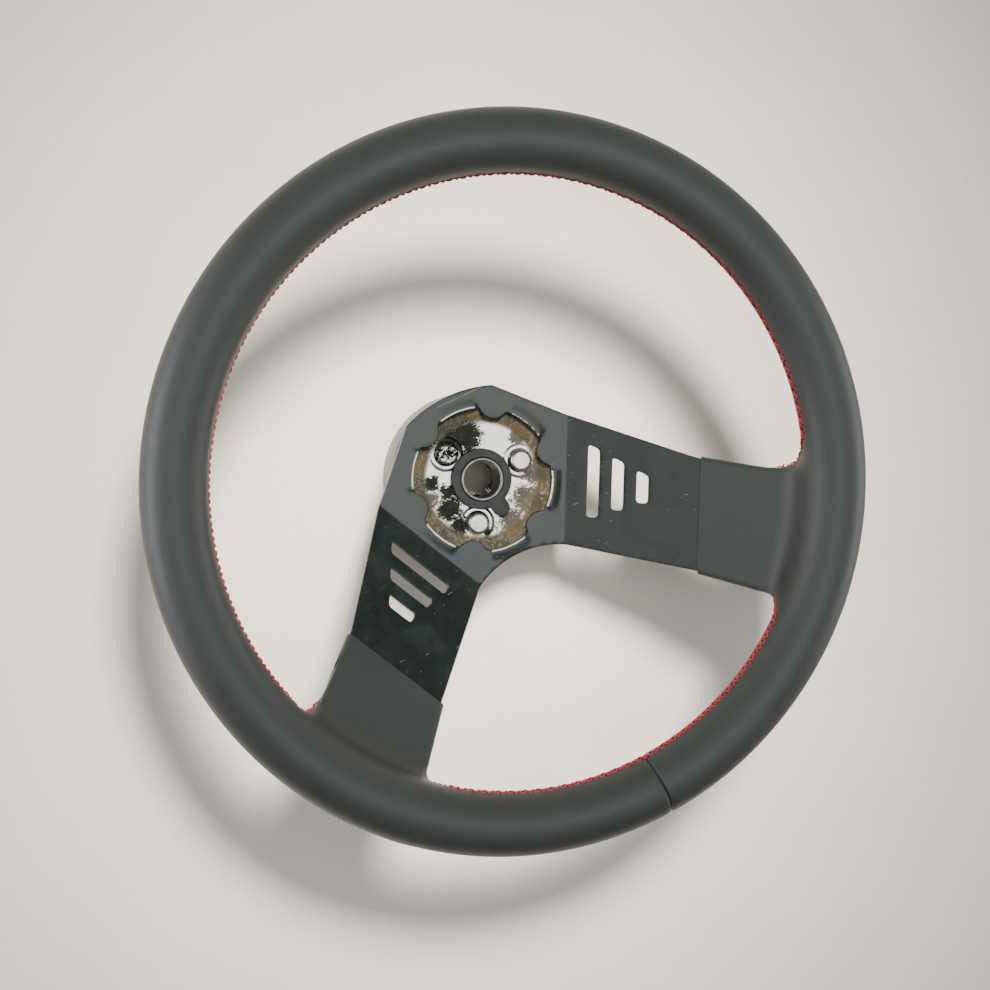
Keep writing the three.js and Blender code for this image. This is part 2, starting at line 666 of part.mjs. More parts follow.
class Coil extends THREE.Curve {
  constructor(radius, turns, bottom, top) {
    super();
    Object.assign(this, { radius, turns, bottom, top });
  }

  getPoint(t, target = new THREE.Vector3()) {
    const a = 2 * Math.PI * this.turns * t;
    const height = this.bottom + (this.top - this.bottom) * t;
    return target.set(this.radius * Math.cos(a), this.radius * Math.sin(a), height);
  }
}

const wire = new THREE.Shape();
wire.absarc(0, 0, SPRING_WIRE / 2, 0, 2 * Math.PI);
const endRoom = SPRING_WIRE / 2 + GAP;
const coil = new Coil(springRadius, SPRING_TURNS, webTop + endRoom, seatBottom - endRoom);
const springGeometry = new THREE.ExtrudeGeometry(
  wire, { steps: COIL_STEPS * SPRING_TURNS, extrudePath: coil, curveSegments: 3 });
addPart('collar_spring', toSolid(springGeometry), springSteel);

addPart('spring_seat', turned([
  [springRadius - SEAT_HALF_WIDTH, seatBottom],
  [springRadius + SEAT_HALF_WIDTH, seatBottom],
  [springRadius + SEAT_HALF_WIDTH, seatTop],
  [springRadius - SEAT_HALF_WIDTH, seatTop],
]), blackSteel);

const snapOuter = BOSS_BORE + SNAP_GROOVE - GAP;
const snapInner = BOSS_BORE - SNAP_STAND;
const snapBlank = turned([
  [snapInner, snapBottom],
  [snapOuter, snapBottom],
  [snapOuter, snapTop],
  [snapInner, snapTop],
]);
const snapGap = new THREE.Shape();
const snapReach = 2 * snapOuter;
snapGap.moveTo(0, 0);
for (const turn of [-1, 1]) {
  const a = clock(180) + (turn * radians(SNAP_OPENING)) / 2;
  snapGap.lineTo(snapReach * Math.cos(a), snapReach * Math.sin(a));
}
addPart('snap_ring', snapBlank.subtract(upright(snapGap, snapBottom - 1, snapTop + 1)), blackSteel);

export default wheel;
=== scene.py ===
"""Quick release steering wheel: leather-covered deep rim on a slotted two-spoke plate, with a
riveted hub dish and a sprung release collar. Sizes are in millimetres until a mesh is made."""

import math

import bmesh
import bpy
import numpy as np
from bpy.props import FloatProperty, FloatVectorProperty, IntProperty, PointerProperty
from mathutils import Matrix, Vector, kdtree
from mathutils.geometry import delaunay_2d_cdt


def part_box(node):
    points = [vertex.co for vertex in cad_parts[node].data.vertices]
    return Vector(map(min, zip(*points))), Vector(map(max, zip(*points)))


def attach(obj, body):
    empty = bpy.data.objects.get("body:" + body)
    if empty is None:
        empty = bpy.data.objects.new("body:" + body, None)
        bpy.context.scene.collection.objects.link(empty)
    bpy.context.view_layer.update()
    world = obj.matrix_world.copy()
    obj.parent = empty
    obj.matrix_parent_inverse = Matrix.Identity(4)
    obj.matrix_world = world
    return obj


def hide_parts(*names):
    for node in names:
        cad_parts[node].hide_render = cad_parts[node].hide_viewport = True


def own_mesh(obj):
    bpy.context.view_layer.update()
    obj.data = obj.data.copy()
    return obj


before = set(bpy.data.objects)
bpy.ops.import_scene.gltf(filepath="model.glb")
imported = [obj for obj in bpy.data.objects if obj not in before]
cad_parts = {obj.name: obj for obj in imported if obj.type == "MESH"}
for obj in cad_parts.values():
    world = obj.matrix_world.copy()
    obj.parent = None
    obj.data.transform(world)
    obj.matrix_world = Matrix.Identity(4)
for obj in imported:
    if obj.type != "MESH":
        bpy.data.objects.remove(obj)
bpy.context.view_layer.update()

bl_info = {
    "name": "Quick release steering wheel",
    "version": (1, 0, 0),
    "blender": (4, 5, 0),
    "location": "View3D > Sidebar > Wheel",
    "description": "Builds the finished pieces of a quick release steering wheel round its frame",
    "category": "Object",
}

MM = 0.001


def top_of(node):
    """Height of a frame node's highest point, in millimetres."""
    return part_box(node)[1][2] / MM


# ---------------------------------------------------------------- rim and plate sizes

GAP = 0.3                       # clearance between pieces that touch
GRIP_RADIUS = 15.1
LEATHER = 1.3
CORE_RADIUS = 7.0
RIM_HEIGHT = top_of("leather_cover") - GRIP_RADIUS
RIM_RADIUS = 159.9
FOAM_RADIUS = GRIP_RADIUS - LEATHER - GAP
PLATE = 2.2
PLATE_EDGE = 0.55               # rounding of the plate's edges
PLATE_TOP = 42.0
SPOKE_ANGLE = math.radians(63.5)
BEND_RADIUS = 6.0
SLOPE = math.atan2(71.16, 113.0)
BEND_START = 44 - BEND_RADIUS * math.tan(SLOPE / 2)
BEND_END = BEND_START + BEND_RADIUS * math.sin(SLOPE)
BEND_RISE = BEND_RADIUS * (1 - math.cos(SLOPE))
MOUTH = 104.0                   # where the leather sleeves start, out along a spoke
MOUTH_HEIGHT = PLATE_TOP + BEND_RISE + (MOUTH - BEND_END) * math.tan(SLOPE)
TIP = 153.2                     # the plate's end, just short of the rim's core
HUB_CROWN = 46.6                # the plate's edge at twelve o'clock
HUB_THROAT = 43.0               # the plate's edge between the spokes, at six o'clock
OPENING = 36.6                  # radius of the horn-button opening
TAB_RADIUS = 8.0
TAB_REACH = 5.0                 # how far the tabs stand into the opening
TAB_TURN = -3.0                 # degrees that the tabs are turned by
LIP_RISE = 0.6
JOINT_LEAN = 0.02               # how far the cover's joint leans from upright


def clock(degrees):
    """An angle from six o'clock, positive towards three o'clock, as an angle from +X."""
    return math.radians(degrees - 90)


def polar(radius, degrees):
    """The plan point at a radius and an angle from six o'clock."""
    return radius * math.cos(clock(degrees)), radius * math.sin(clock(degrees))


def spoke_point(side, u, v):
    """A plan point u out along a spoke and v across it towards twelve o'clock."""
    s, c = math.sin(SPOKE_ANGLE), math.cos(SPOKE_ANGLE)
    return side * (u * s + v * c), -u * c + v * s


def spoke_frame(points, side):
    """Points' u and v on one spoke."""
    s, c = math.sin(SPOKE_ANGLE), math.cos(SPOKE_ANGLE)
    x, y = points[:, 0] * side, points[:, 1]
    return x * s - y * c, x * c + y * s


# ---------------------------------------------------------------- outlines

def rounded(points, radii, steps=4, closed=True):
    """A polygon whose corners are rounded by curves that start a radius from each corner."""
    points = [Vector(p) for p in points]
    radii = radii if isinstance(radii, (list, tuple)) else [radii] * len(points)
    out = []
    for i, corner in enumerate(points):
        if not closed and i in (0, len(points) - 1):
            out.append(corner)
            continue
        before, after = points[i - 1], points[(i + 1) % len(points)]
        reach = min(radii[i], 0.45 * (corner - before).length, 0.45 * (after - corner).length)
        if reach < 1e-6:
            out.append(corner)
            continue
        a = corner + (before - corner).normalized() * reach
        b = corner + (after - corner).normalized() * reach
        for k in range(steps + 1):
            t = k / steps
            out.append((1 - t) ** 2 * a + 2 * t * (1 - t) * corner + t * t * b)
    return [tuple(p) for p in out]


def around(count):
    """Pairs of neighbours round a closed loop."""
    return [(i, (i + 1) % count) for i in range(count)]


def arc(radius, angles):
    """Plan points on a circle about the axis, at angles in radians."""
    return [(radius * math.cos(a), radius * math.sin(a)) for a in angles]


def full_turn(steps):
    """Evenly spaced angles round a whole turn."""
    return np.arange(steps) * 2 * math.pi / steps


def bowed(half_width, sag):
    """Radius of the arc that falls by sag at half_width from its crown."""
    return (half_width ** 2 + sag ** 2) / (2 * sag)


def dense(points, step):
    """A closed outline with points added so that none is further than step from the next."""
    out = []
    for i, j in around(len(points)):
        p, q = points[i], points[j]
        count = max(1, math.ceil(math.dist(p, q) / step))
        out += [tuple(np.array(p) + (np.array(q) - np.array(p)) * k / count)
                for k in range(count)]
    clean = [out[0]]
    for p in out[1:]:
        if math.dist(p, clean[-1]) > 0.02:
            clean.append(p)
    return np.array(clean)


def eased(value):
    """0 below 0, 1 above 1 and smooth between."""
    t = np.clip(value, 0, 1)
    return t * t * (3 - 2 * t)


def area_of(loop):
    x, y = loop[:, 0], loop[:, 1]
    return 0.5 * float(np.sum(x * np.roll(y, -1) - np.roll(x, -1) * y))


def turned_way(loop, anticlockwise):
    """The loop, turned round if it doesn't run the wanted way."""
    return loop if (area_of(loop) > 0) == anticlockwise else loop[::-1].copy()


def inward(loop):
    """Unit normals that point into the material, on the left of an outline's direction."""
    run = np.roll(loop, -1, axis=0) - np.roll(loop, 1, axis=0)
    run /= np.linalg.norm(run, axis=1)[:, None]
    return np.stack([-run[:, 1], run[:, 0]], axis=1)


def inside(points, loops):
    """Which points lie inside an odd number of closed outlines."""
    hit = np.zeros(len(points), bool)
    for loop in loops:
        for (x1, y1), (x2, y2) in zip(loop, np.roll(loop, -1, axis=0)):
            if y1 == y2:
                continue
            across = (points[:, 1] > y1) != (points[:, 1] > y2)
            x = x1 + (points[:, 1] - y1) * (x2 - x1) / (y2 - y1)
            hit ^= across & (points[:, 0] < x)
    return hit


# ---------------------------------------------------------------- meshes

def faced(points, faces, merge=1e-4):
    """A closed mesh from millimetre points, with doubles merged and faces turned outwards."""
    bm = bmesh.new()
    verts = [bm.verts.new(Vector(p) * MM) for p in points]
    for face in faces:
        if len(set(face)) > 2:
            try:
                bm.faces.new([verts[i] for i in face])
            except ValueError:
                pass
    bmesh.ops.remove_doubles(bm, verts=bm.verts, dist=merge * MM)
    bmesh.ops.dissolve_degenerate(bm, edges=bm.edges, dist=merge * MM)
    loose = [v for v in bm.verts if not v.link_faces]
    bmesh.ops.delete(bm, geom=loose, context="VERTS")
    bmesh.ops.recalc_face_normals(bm, faces=bm.faces)
    mesh = bpy.data.meshes.new("mesh")
    bm.to_mesh(mesh)
    bm.free()
    return mesh


def prism(near, far):
    """A closed solid between two matching loops of points."""
    n = len(near)
    return faced([*near, *far], [tuple(range(n)), tuple(range(2 * n - 1, n - 1, -1))]
                 + [(i, j, n + j, n + i) for i, j in around(n)])


def placed(name, mesh):
    """A new object in the scene that holds the mesh."""
    obj = bpy.data.objects.new(name, mesh)
    bpy.context.scene.collection.objects.link(obj)
    return obj


def lathe(profile, steps=128):
    """A closed profile of [radius, height] turned about the axis."""
    points = [(r * math.cos(a), r * math.sin(a), z) for a in full_turn(steps)
              for r, z in profile]
    n = len(profile)
    return faced(points, [(i * n + j, k * n + j, k * n + m, i * n + m)
                          for i, k in around(steps) for j, m in around(n)])


def tube(ring, radius, height, steps=192, sides=32):
    """A round ring about the axis."""
    return lathe([(ring + r, height + z) for r, z in arc(radius, full_turn(sides))], steps)


def bar(radius, start, end, sides=32, bevel=0.0):
    """A round bar between two points."""
    start, end = Vector(start), Vector(end)
    along = (end - start).normalized()
    across = along.orthogonal().normalized()
    third = along.cross(across)
    length = (end - start).length
    profile = rounded([(0, 0), (radius, 0), (radius, length), (0, length)],
                      [0, bevel, bevel, 0], steps=3)
    points = [start + along * z + (across * math.cos(a) + third * math.sin(a)) * r
              for a in np.arange(sides) * 2 * math.pi / sides for r, z in profile]
    n = len(profile)
    faces = [(i * n + j, ((i + 1) % sides) * n + j, ((i + 1) % sides) * n + (j + 1) % n,
              i * n + (j + 1) % n) for i in range(sides) for j in range(n - 1)]
    return faced(points, faces)


def cut(mesh, cutters, operation="DIFFERENCE"):
    """The mesh with closed cutters taken away, one after another."""
    obj = placed("blank", mesh)
    for cutter in cutters:
        tool = placed("cutter", cutter)
        modifier = obj.modifiers.new("cut", "BOOLEAN")
        modifier.operation, modifier.solver, modifier.object = operation, "MANIFOLD", tool
        bpy.context.view_layer.update()
        result = bpy.data.meshes.new_from_object(
            obj.evaluated_get(bpy.context.evaluated_depsgraph_get()))
        obj.modifiers.remove(modifier)
        if not result.polygons:
            raise RuntimeError("a cut left nothing")
        obj.data = result
        bpy.data.objects.remove(tool)
    result = obj.data
    bpy.data.objects.remove(obj)
    return result


def piece(name, mesh, finish, body, nodes, sharp=35):
    """A finished piece that rides on a body and stands for its frame nodes."""
    obj = placed(name, mesh)
    mesh.name = name
    mesh.materials.clear()
    mesh.materials.append(finish)
    mesh.polygons.foreach_set("material_index", [0] * len(mesh.polygons))
    mesh.shade_smooth()
    if sharp < 180:
        mesh.set_sharp_from_angle(angle=math.radians(sharp))
    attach(obj, body)
    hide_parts(*nodes)
    return obj


INNER_CLEAR = 0.7               # least distance from a sheet's inner points to its edges


def sheet_mesh(outline, holes, surface, thickness, edge, inner=(), edge_steps=3):
    """A sheet of metal with rounded edges. surface gives points on the front face, the
    normals that its thickness follows, and the lift of the front face alone."""
    loops = [turned_way(outline, True)] + [turned_way(h, False) for h in holes]
    rings, quads, points = [], [], []
    corner = [(edge * (1 - math.sin(a)), edge * (1 - math.cos(a)))
              for a in np.linspace(0, math.pi / 2, edge_steps + 1)]
    walls = corner + [(inset, thickness - depth) for inset, depth in reversed(corner)]

    def lay(flat, depth):
        on, normal, lift = surface(flat)
        lift = lift if depth < thickness / 2 else np.zeros(len(flat))
        return on + normal * (lift - depth)[:, None]

    for loop in loops:
        normal = inward(loop)
        rows = []
        for inset, depth in walls:
            rows.append(len(points))
            points += list(lay(loop + normal * inset, depth))
        for a, b in zip(rows, rows[1:]):
            quads += [(a + i, a + j, b + j, b + i) for i, j in around(len(loop))]
        rings.append((rows[0], rows[-1], loop + normal * edge))
    flat = np.concatenate([ring for _, _, ring in rings])
    constraints, at = [], 0
    for *_, ring in rings:
        constraints += [(at + i, at + j) for i, j in around(len(ring))]
        at += len(ring)
    inner = np.array(inner, float).reshape(-1, 2)
    if len(inner):
        inner = inner[inside(inner, [ring for _, _, ring in rings])]
        tree = kdtree.KDTree(len(flat))
        for i, p in enumerate(flat):
            tree.insert((p[0], p[1], 0), i)
        tree.balance()
        inner = [p for p in inner if tree.find((p[0], p[1], 0))[2] > INNER_CLEAR]
        flat = np.concatenate([flat, np.array(inner)]) if inner else flat
    verts, _, faces, *_ = delaunay_2d_cdt([Vector(p) for p in flat], constraints, [], 0, 1e-7)
    made = np.array([v[:] for v in verts])
    triangles = np.array(faces)
    triangles = triangles[inside(made[triangles].mean(axis=1), [r for _, _, r in rings])]
    for depth in (0.0, thickness):
        start = len(points)
        points += list(lay(made, depth))
        quads += [tuple(start + np.array(t)) for t in triangles]
    return points, quads


def flat_at(height):
    """The surface of a flat sheet whose front face is at one height."""
    def surface(flat):
        count = len(flat)
        return (np.column_stack([flat, np.full(count, height)]),
                np.tile((0.0, 0.0, 1.0), (count, 1)), np.zeros(count))
    return surface


# ---------------------------------------------------------------- shaders

class Value:
    """A shader output that arithmetic can be written on."""

    def __init__(self, finish, socket):
        self.finish, self.socket = finish, socket

    def worked(self, operation, *others, clamp=False):
        return self.finish.node("ShaderNodeMath", {"operation": operation, "use_clamp": clamp},
                                {i: v for i, v in enumerate((self, *others))})

    def __add__(self, other):
        return self.worked("ADD", other)

    __radd__ = __add__

    def __sub__(self, other):
        return self.worked("SUBTRACT", other)

    def __rsub__(self, other):
        return self.finish.node("ShaderNodeMath", {"operation": "SUBTRACT"}, {0: other, 1: self})

    def __mul__(self, other):
        return self.worked("MULTIPLY", other)

    __rmul__ = __mul__

    def __truediv__(self, other):
        return self.worked("DIVIDE", other)

    def __pow__(self, other):
        return self.worked("POWER", other)

    def __abs__(self):
        return self.worked("ABSOLUTE")

    def clamped(self):
        return self.worked("ADD", 0.0, clamp=True)

    def most(self, other):
        return self.worked("MAXIMUM", other)

    def ramp(self, low, high):
        """0 below low, 1 above high and smooth between; low may be the greater."""
        return self.finish.node(
            "ShaderNodeMapRange", {"interpolation_type": "SMOOTHSTEP"},
            {"Value": self, "From Min": low, "From Max": high, "To Min": 0.0, "To Max": 1.0})


class Finish:
    """One material, built from a Principled shader and the nodes that feed it."""

    def __init__(self, name, **uniform):
        self.material = bpy.data.materials.new(name)
        self.material.use_nodes = True
        self.tree = self.material.node_tree
        self.shader = self.tree.nodes["Principled BSDF"]
        for socket, value in uniform.items():
            self.shader.inputs[socket.replace("_", " ")].default_value = value

    def node(self, kind, settings=None, inputs=None, output=0):
        made = self.tree.nodes.new(kind)
        for key, value in (settings or {}).items():
            if key == "stops":
                ramp = made.color_ramp
                while len(ramp.elements) < len(value):
                    ramp.elements.new(1.0)
                for element, (place, colour) in zip(ramp.elements, value):
                    element.position, element.color = place, (*colour[:3], 1.0)
            else:
                setattr(made, key, value)
        for key, value in (inputs or {}).items():
            socket = made.inputs[key]
            if isinstance(value, Value):
                self.tree.links.new(value.socket, socket)
            elif hasattr(value, "__len__") and len(value) == 3 and socket.type == "RGBA":
                socket.default_value = (*value, 1.0)
            else:
                socket.default_value = value
        return Value(self, made.outputs[output])

    def place(self, stretch=(1, 1, 1)):
        """The place on the piece, in millimetres, divided by stretch."""
        where = self.node("ShaderNodeTexCoord", output="Object")
        return self.node("ShaderNodeVectorMath", {"operation": "MULTIPLY"},
                         {0: where, 1: tuple(1 / MM / s for s in stretch)})

    def parts(self, vector):
        split = self.tree.nodes.new("ShaderNodeSeparateXYZ")
        self.tree.links.new(vector.socket, split.inputs[0])
        return [Value(self, s) for s in split.outputs]

    def noise(self, size, detail=4.0, rough=0.55, where=None, distortion=0.0):
        """Noise from 0 to 1 whose marks are about size millimetres across."""
        return self.node("ShaderNodeTexNoise", {"noise_dimensions": "3D"},
                         {"Vector": where or self.place(), "Scale": 1 / size, "Detail": detail,
                          "Roughness": rough, "Distortion": distortion})

    def cells(self, size, feature="F1", where=None, output="Distance", randomness=1.0):
        return self.node("ShaderNodeTexVoronoi", {"feature": feature},
                         {"Vector": where or self.place(), "Scale": 1 / size,
                          "Randomness": randomness}, output)

    def mix(self, factor, a, b):
        """Colour a where factor is 0 and b where it is 1."""
        return self.node("ShaderNodeMix", {"data_type": "RGBA"}, {0: factor, 6: a, 7: b}, 2)

    def attribute(self, name):
        return self.node("ShaderNodeAttribute", {"attribute_type": "GEOMETRY",
                                                 "attribute_name": name}, output="Fac")

    def feed(self, socket, value):
        self.tree.links.new(value.socket, self.shader.inputs[socket])

    def bump(self, height, depth, strength=1.0, over=None):
        """Bump whose height value of 1 stands depth millimetres proud."""
        inputs = {"Height": height, "Strength": strength, "Distance": depth * MM}
        if over is not None:
            inputs["Normal"] = over
        return self.node("ShaderNodeBump", {}, inputs, "Normal")


def leather_finish(colour):
    """Satin leather with pores, soft folds and dark lines at its joint and seams."""
    f = Finish("satin black leather", Specular_IOR_Level=0.85)
    grain = f.cells(0.55, "DISTANCE_TO_EDGE").ramp(0.0, 0.16)
    pores = f.noise(0.22, 2.0)
    folds = f.noise(5.0, 5.0, 0.6)
    cloud = f.noise(42.0, 3.0)
    x, y, z = f.parts(f.place())
    front = y.ramp(0.0, -1.0)
    crease = (1 - abs(x + (z - RIM_HEIGHT) * JOINT_LEAN).ramp(0.15, 0.7)) * front
    seam = f.attribute("seam")
    tone = f.mix((cloud * 0.7 + folds * 0.3).clamped(), tuple(c * 0.8 for c in colour),
                 tuple(c * 1.25 for c in colour))
    tone = f.mix((crease.most(seam * 0.8)).clamped(), tone, (0.004, 0.004, 0.004))
    f.feed("Base Color", tone)
    f.feed("Roughness", 0.47 + (cloud - 0.5) * 0.12 + (folds - 0.5) * 0.08 + (1 - grain) * 0.08)
    height = f.bump(grain * 0.6 + pores * 0.4, 0.035)
    height = f.bump(folds, 0.12, 0.6, height)
    f.feed("Normal", height)
    return f.material


def thread_finish(colour):
    """Waxed thread with twisted strands."""
    f = Finish("red waxed thread", Specular_IOR_Level=0.4, Sheen_Weight=0.25,
               Sheen_Roughness=0.4)
    where = f.place()
    strands = f.node("ShaderNodeTexWave", {"wave_type": "BANDS", "bands_direction": "DIAGONAL"},
                     {"Vector": where, "Scale": 1.1, "Distortion": 1.5, "Detail": 2.0}, "Fac")
    worn = f.noise(2.5, 3.0)
    f.feed("Base Color", f.mix((strands * 0.6 + worn * 0.4).clamped(),
                               tuple(c * 0.55 for c in colour), colour))
    f.feed("Roughness", 0.45 + worn * 0.3)
    f.feed("Normal", f.bump(strands, 0.12))
    return f.material


def paint_finish(colour):
    """Semi-gloss black paint, worn to bright metal where the wear attribute is high."""
    f = Finish("black painted steel", Specular_IOR_Level=0.55, Coat_Roughness=0.12)
    smear = f.noise(26.0, 5.0, 0.6, distortion=1.2)
    stain = f.noise(11.0, 4.0, 0.65, distortion=0.6)
    peel = f.noise(1.6, 2.0)
    dust = 1 - f.cells(3.4).ramp(0.03, 0.075)
    pick = f.cells(3.4, output="Color")
    pick = f.node("ShaderNodeSeparateColor", {}, {0: pick}).ramp(0.7, 0.75)
    dust = dust * pick
    hair = f.noise(1.0, 2.0, 0.5, f.place((60, 1.1, 4)), 0.4)
    hairs = hair.ramp(0.735, 0.76)
    wear = f.attribute("wear")
    chip = f.noise(2.2, 5.0, 0.7, distortion=0.8)
    bare = (wear * 1.35 + (chip - 0.5) * 1.3 - 0.62).ramp(0.0, 0.12) * wear.ramp(0.05, 0.2)
    tint = f.mix(smear.ramp(0.35, 0.7), colour, tuple(c * 1.9 for c in colour))
    tint = f.mix(stain.ramp(0.5, 0.75) * 0.5, tint, (0.017, 0.014, 0.008))
    tint = f.mix((dust * 0.6 + hairs * 0.25).clamped(), tint, (0.30, 0.29, 0.26))
    f.feed("Base Color", f.mix(bare, tint, (0.83, 0.80, 0.74)))
    f.feed("Metallic", bare * 1.0)
    f.feed("Roughness", (0.17 + smear.ramp(0.3, 0.8) * 0.16 + stain.ramp(0.5, 0.8) * 0.10
                         + dust * 0.3 + hairs * 0.12) * (1 - bare) + bare * (0.22 + chip * 0.2))
    f.feed("Coat Weight", (1 - bare) * 0.35)
    height = f.bump(peel, 0.009)
    height = f.bump((1 - bare) + dust * 0.6 - hairs * 0.3, 0.06, 1.0, height)
    f.feed("Normal", height)
    return f.material


def flaked_chrome_finish():
    """Bright plating with ragged dark flaked patches, brown stains, and a painted reflection: a
    brown and olive tone over the wall.
    """
    f = Finish("flaked chrome plating", Specular_IOR_Level=0.22)
    x, y, z = f.parts(f.place())
    radius = (x * x + y * y) ** 0.5
    ragged = f.noise(5.2, 8.0, 0.72, distortion=1.6)
    torn = f.noise(2.6, 6.0, 0.75, f.place((1.0, 0.6, 1.0)), 2.2)
    broad = f.noise(13.0, 3.0, 0.5)

    def patch(spots):
        """Ragged blots round the given [x, y, size] places."""
        mask = None
        for px, py, size in spots:
            far = ((x - px) * (x - px) + (y - py) * (y - py)) ** 0.5 / size
            blot = ((ragged - 0.5) * 2.2 + (torn - 0.5) * 3.0 + 1.0 - far).ramp(0.0, 0.12)
            mask = blot if mask is None else mask.most(blot)
        return mask
    wall = radius.ramp(28.2, 31.0)
    flake = patch(((1, 24, 9), (-7, 26, 7), (-18.7, 1.5, 4), (-21.5, -7, 6.5),
                   (-20.5, -17, 5), (-25, 9, 4), (-9, -26, 3)))
    specks = f.cells(2.3).ramp(0.13, 0.07) * f.noise(9.0, 3.0).ramp(0.52, 0.64)
    flake = flake.most(specks * 0.8).clamped()
    stained = patch(((18, -20, 9), (5, -27, 8), (28, -9, 8), (27, 12, 5), (-29, 2, 5)))
    streak = f.noise(1.0, 5.0, 0.65, f.place((2.2, 2.2, 9)), 0.9)
    # on the wall the dark brown and olive streaks are a painted reflection; at the stained places
    # they are brown stains
    brown = (wall * streak.ramp(0.66, 0.50)).most(stained * streak.ramp(0.80, 0.60))
    plate = f.mix(f.noise(9.0, 4.0).ramp(0.4, 0.75), (0.90, 0.88, 0.83), (0.80, 0.76, 0.68))
    # painted reflection: a brown tint over the whole wall
    plate = f.mix(wall * 0.85, plate, (0.20, 0.165, 0.095))
    plate = f.mix((brown * 0.97).clamped(), plate,
                  f.mix(broad.ramp(0.4, 0.6), (0.026, 0.026, 0.015), (0.060, 0.042, 0.021)))
    dark = f.mix(ragged.ramp(0.35, 0.65), (0.020, 0.024, 0.020), (0.062, 0.062, 0.047))
    f.feed("Base Color", f.mix(flake, plate, dark))
    f.feed("Metallic", (1 - brown * 0.92).clamped())
    f.feed("Roughness", 0.12 + f.noise(3.0, 4.0) * 0.12 + flake * 0.3 + brown * 0.28)
    rings = None
    for i in range(3):
        px, py = polar(RIVET_CIRCLE, RIVET_ANGLE + 120 * i)
        far = ((x - px) * (x - px) + (y - py) * (y - py)) ** 0.5
        ring = far.ramp(9.4, 7.6)
        rings = ring if rings is None else rings.most(ring)
    height = f.bump(f.noise(1.2, 3.0), 0.03)
    height = f.bump(rings, 0.5, 1.0, height)
    f.feed("Normal", f.bump(1 - flake, 0.10, 1.0, height))
    return f.material


def worn_nickel_finish():
    """Bright rivet heads, chipped dark on the one at eleven o'clock."""
    f = Finish("worn nickel", Metallic=1.0)
    ragged = f.noise(2.4, 8.0, 0.7, distortion=1.2)
    x, y, z = f.parts(f.place())
    left = (y * 0.866 - x * 0.5).ramp(14.0, 17.0)
    chip = (ragged + left * 0.20).ramp(0.66, 0.70)
    f.feed("Base Color", f.mix(chip, f.mix(f.noise(4.0), (0.88, 0.86, 0.80), (0.74, 0.71, 0.64)),
                               (0.02, 0.018, 0.015)))
    f.feed("Roughness", 0.18 + ragged * 0.15 + chip * 0.3)
    f.feed("Normal", f.bump(f.noise(0.9, 3.0) - chip, 0.05))
    return f.material


def metal_finish(name, light, dark, rough, grain, depth, metallic=1.0, turned=0.0, spots=0.0):
    """Plain metal with a mottled tone, tool marks round the axis and a few stains."""
    f = Finish(name, Metallic=metallic)
    x, y, z = f.parts(f.place())
    radius = (x * x + y * y) ** 0.5
    marks = f.noise(grain, 4.0, 0.6)
    rings = f.node("ShaderNodeTexNoise", {"noise_dimensions": "2D"},
                   {"Vector": f.node("ShaderNodeCombineXYZ", {}, {0: radius * 3.2, 1: z * 3.2}),
                    "Scale": 1.0, "Detail": 3.0})
    broad = f.noise(grain * 7, 3.0, distortion=0.8)
    stain = f.noise(grain * 3, 6.0, 0.7).ramp(0.60, 0.72) * spots
    tone = f.mix((broad * 0.6 + marks * 0.4).ramp(0.3, 0.7), dark, light)
    f.feed("Base Color", f.mix(stain.clamped(), tone, tuple(c * 0.22 for c in dark)))
    f.feed("Roughness", (rough + (marks - 0.5) * 0.14 + (rings - 0.5) * turned * 0.3
                         + stain * 0.25).clamped())
    f.feed("Normal", f.bump(marks * (1 - turned) + rings * turned, depth))
    return f.material


def soft_finish(name, light, dark, rough, size, depth):
    """Rubber or foam: closed cells and a dusty mottle."""
    f = Finish(name, Specular_IOR_Level=0.35, Sheen_Weight=0.1)
    cells = f.cells(size, "F1")
    dusty = f.noise(size * 9, 5.0, 0.65)
    f.feed("Base Color", f.mix(dusty.ramp(0.35, 0.75), dark, light))
    f.feed("Roughness", (rough + (dusty - 0.5) * 0.2).clamped())
    f.feed("Normal", f.bump(cells, depth))
    return f.material


def floor_finish(colour):
    """Pale board with fine crossed fibres."""
    f = Finish("pale fibre board", Specular_IOR_Level=0.25)
    fibre = f.noise(1.0, 5.0, 0.7, f.place((3.2, 0.8, 1)))
    cross = f.noise(1.0, 5.0, 0.7, f.place((0.9, 4.0, 1)))
    cloud = f.noise(60.0, 5.0, 0.6)
    tone = f.mix((fibre * 0.5 + cross * 0.3 + cloud * 0.2).ramp(0.3, 0.7),
                 tuple(c * 0.90 for c in colour), tuple(min(1, c * 1.06) for c in colour))
    f.feed("Base Color", tone)
    f.feed("Roughness", 0.75 + (cloud - 0.5) * 0.2)
    f.feed("Normal", f.bump(fibre + cross, 0.05))
    return f.material


# ---------------------------------------------------------------- node trees for repeats

def tree_with(name, sockets):
    """A geometry tree with a geometry input and the named sizes after it."""
    tree = bpy.data.node_groups.new(name, "GeometryNodeTree")
    tree.is_modifier = True
    face = tree.interface
    face.new_socket("Geometry", in_out="INPUT", socket_type="NodeSocketGeometry")
    for label, kind, value in sockets:
        made = face.new_socket(label, in_out="INPUT", socket_type=kind)
        if value is not None:
            made.default_value = value
    face.new_socket("Geometry", in_out="OUTPUT", socket_type="NodeSocketGeometry")
    return tree


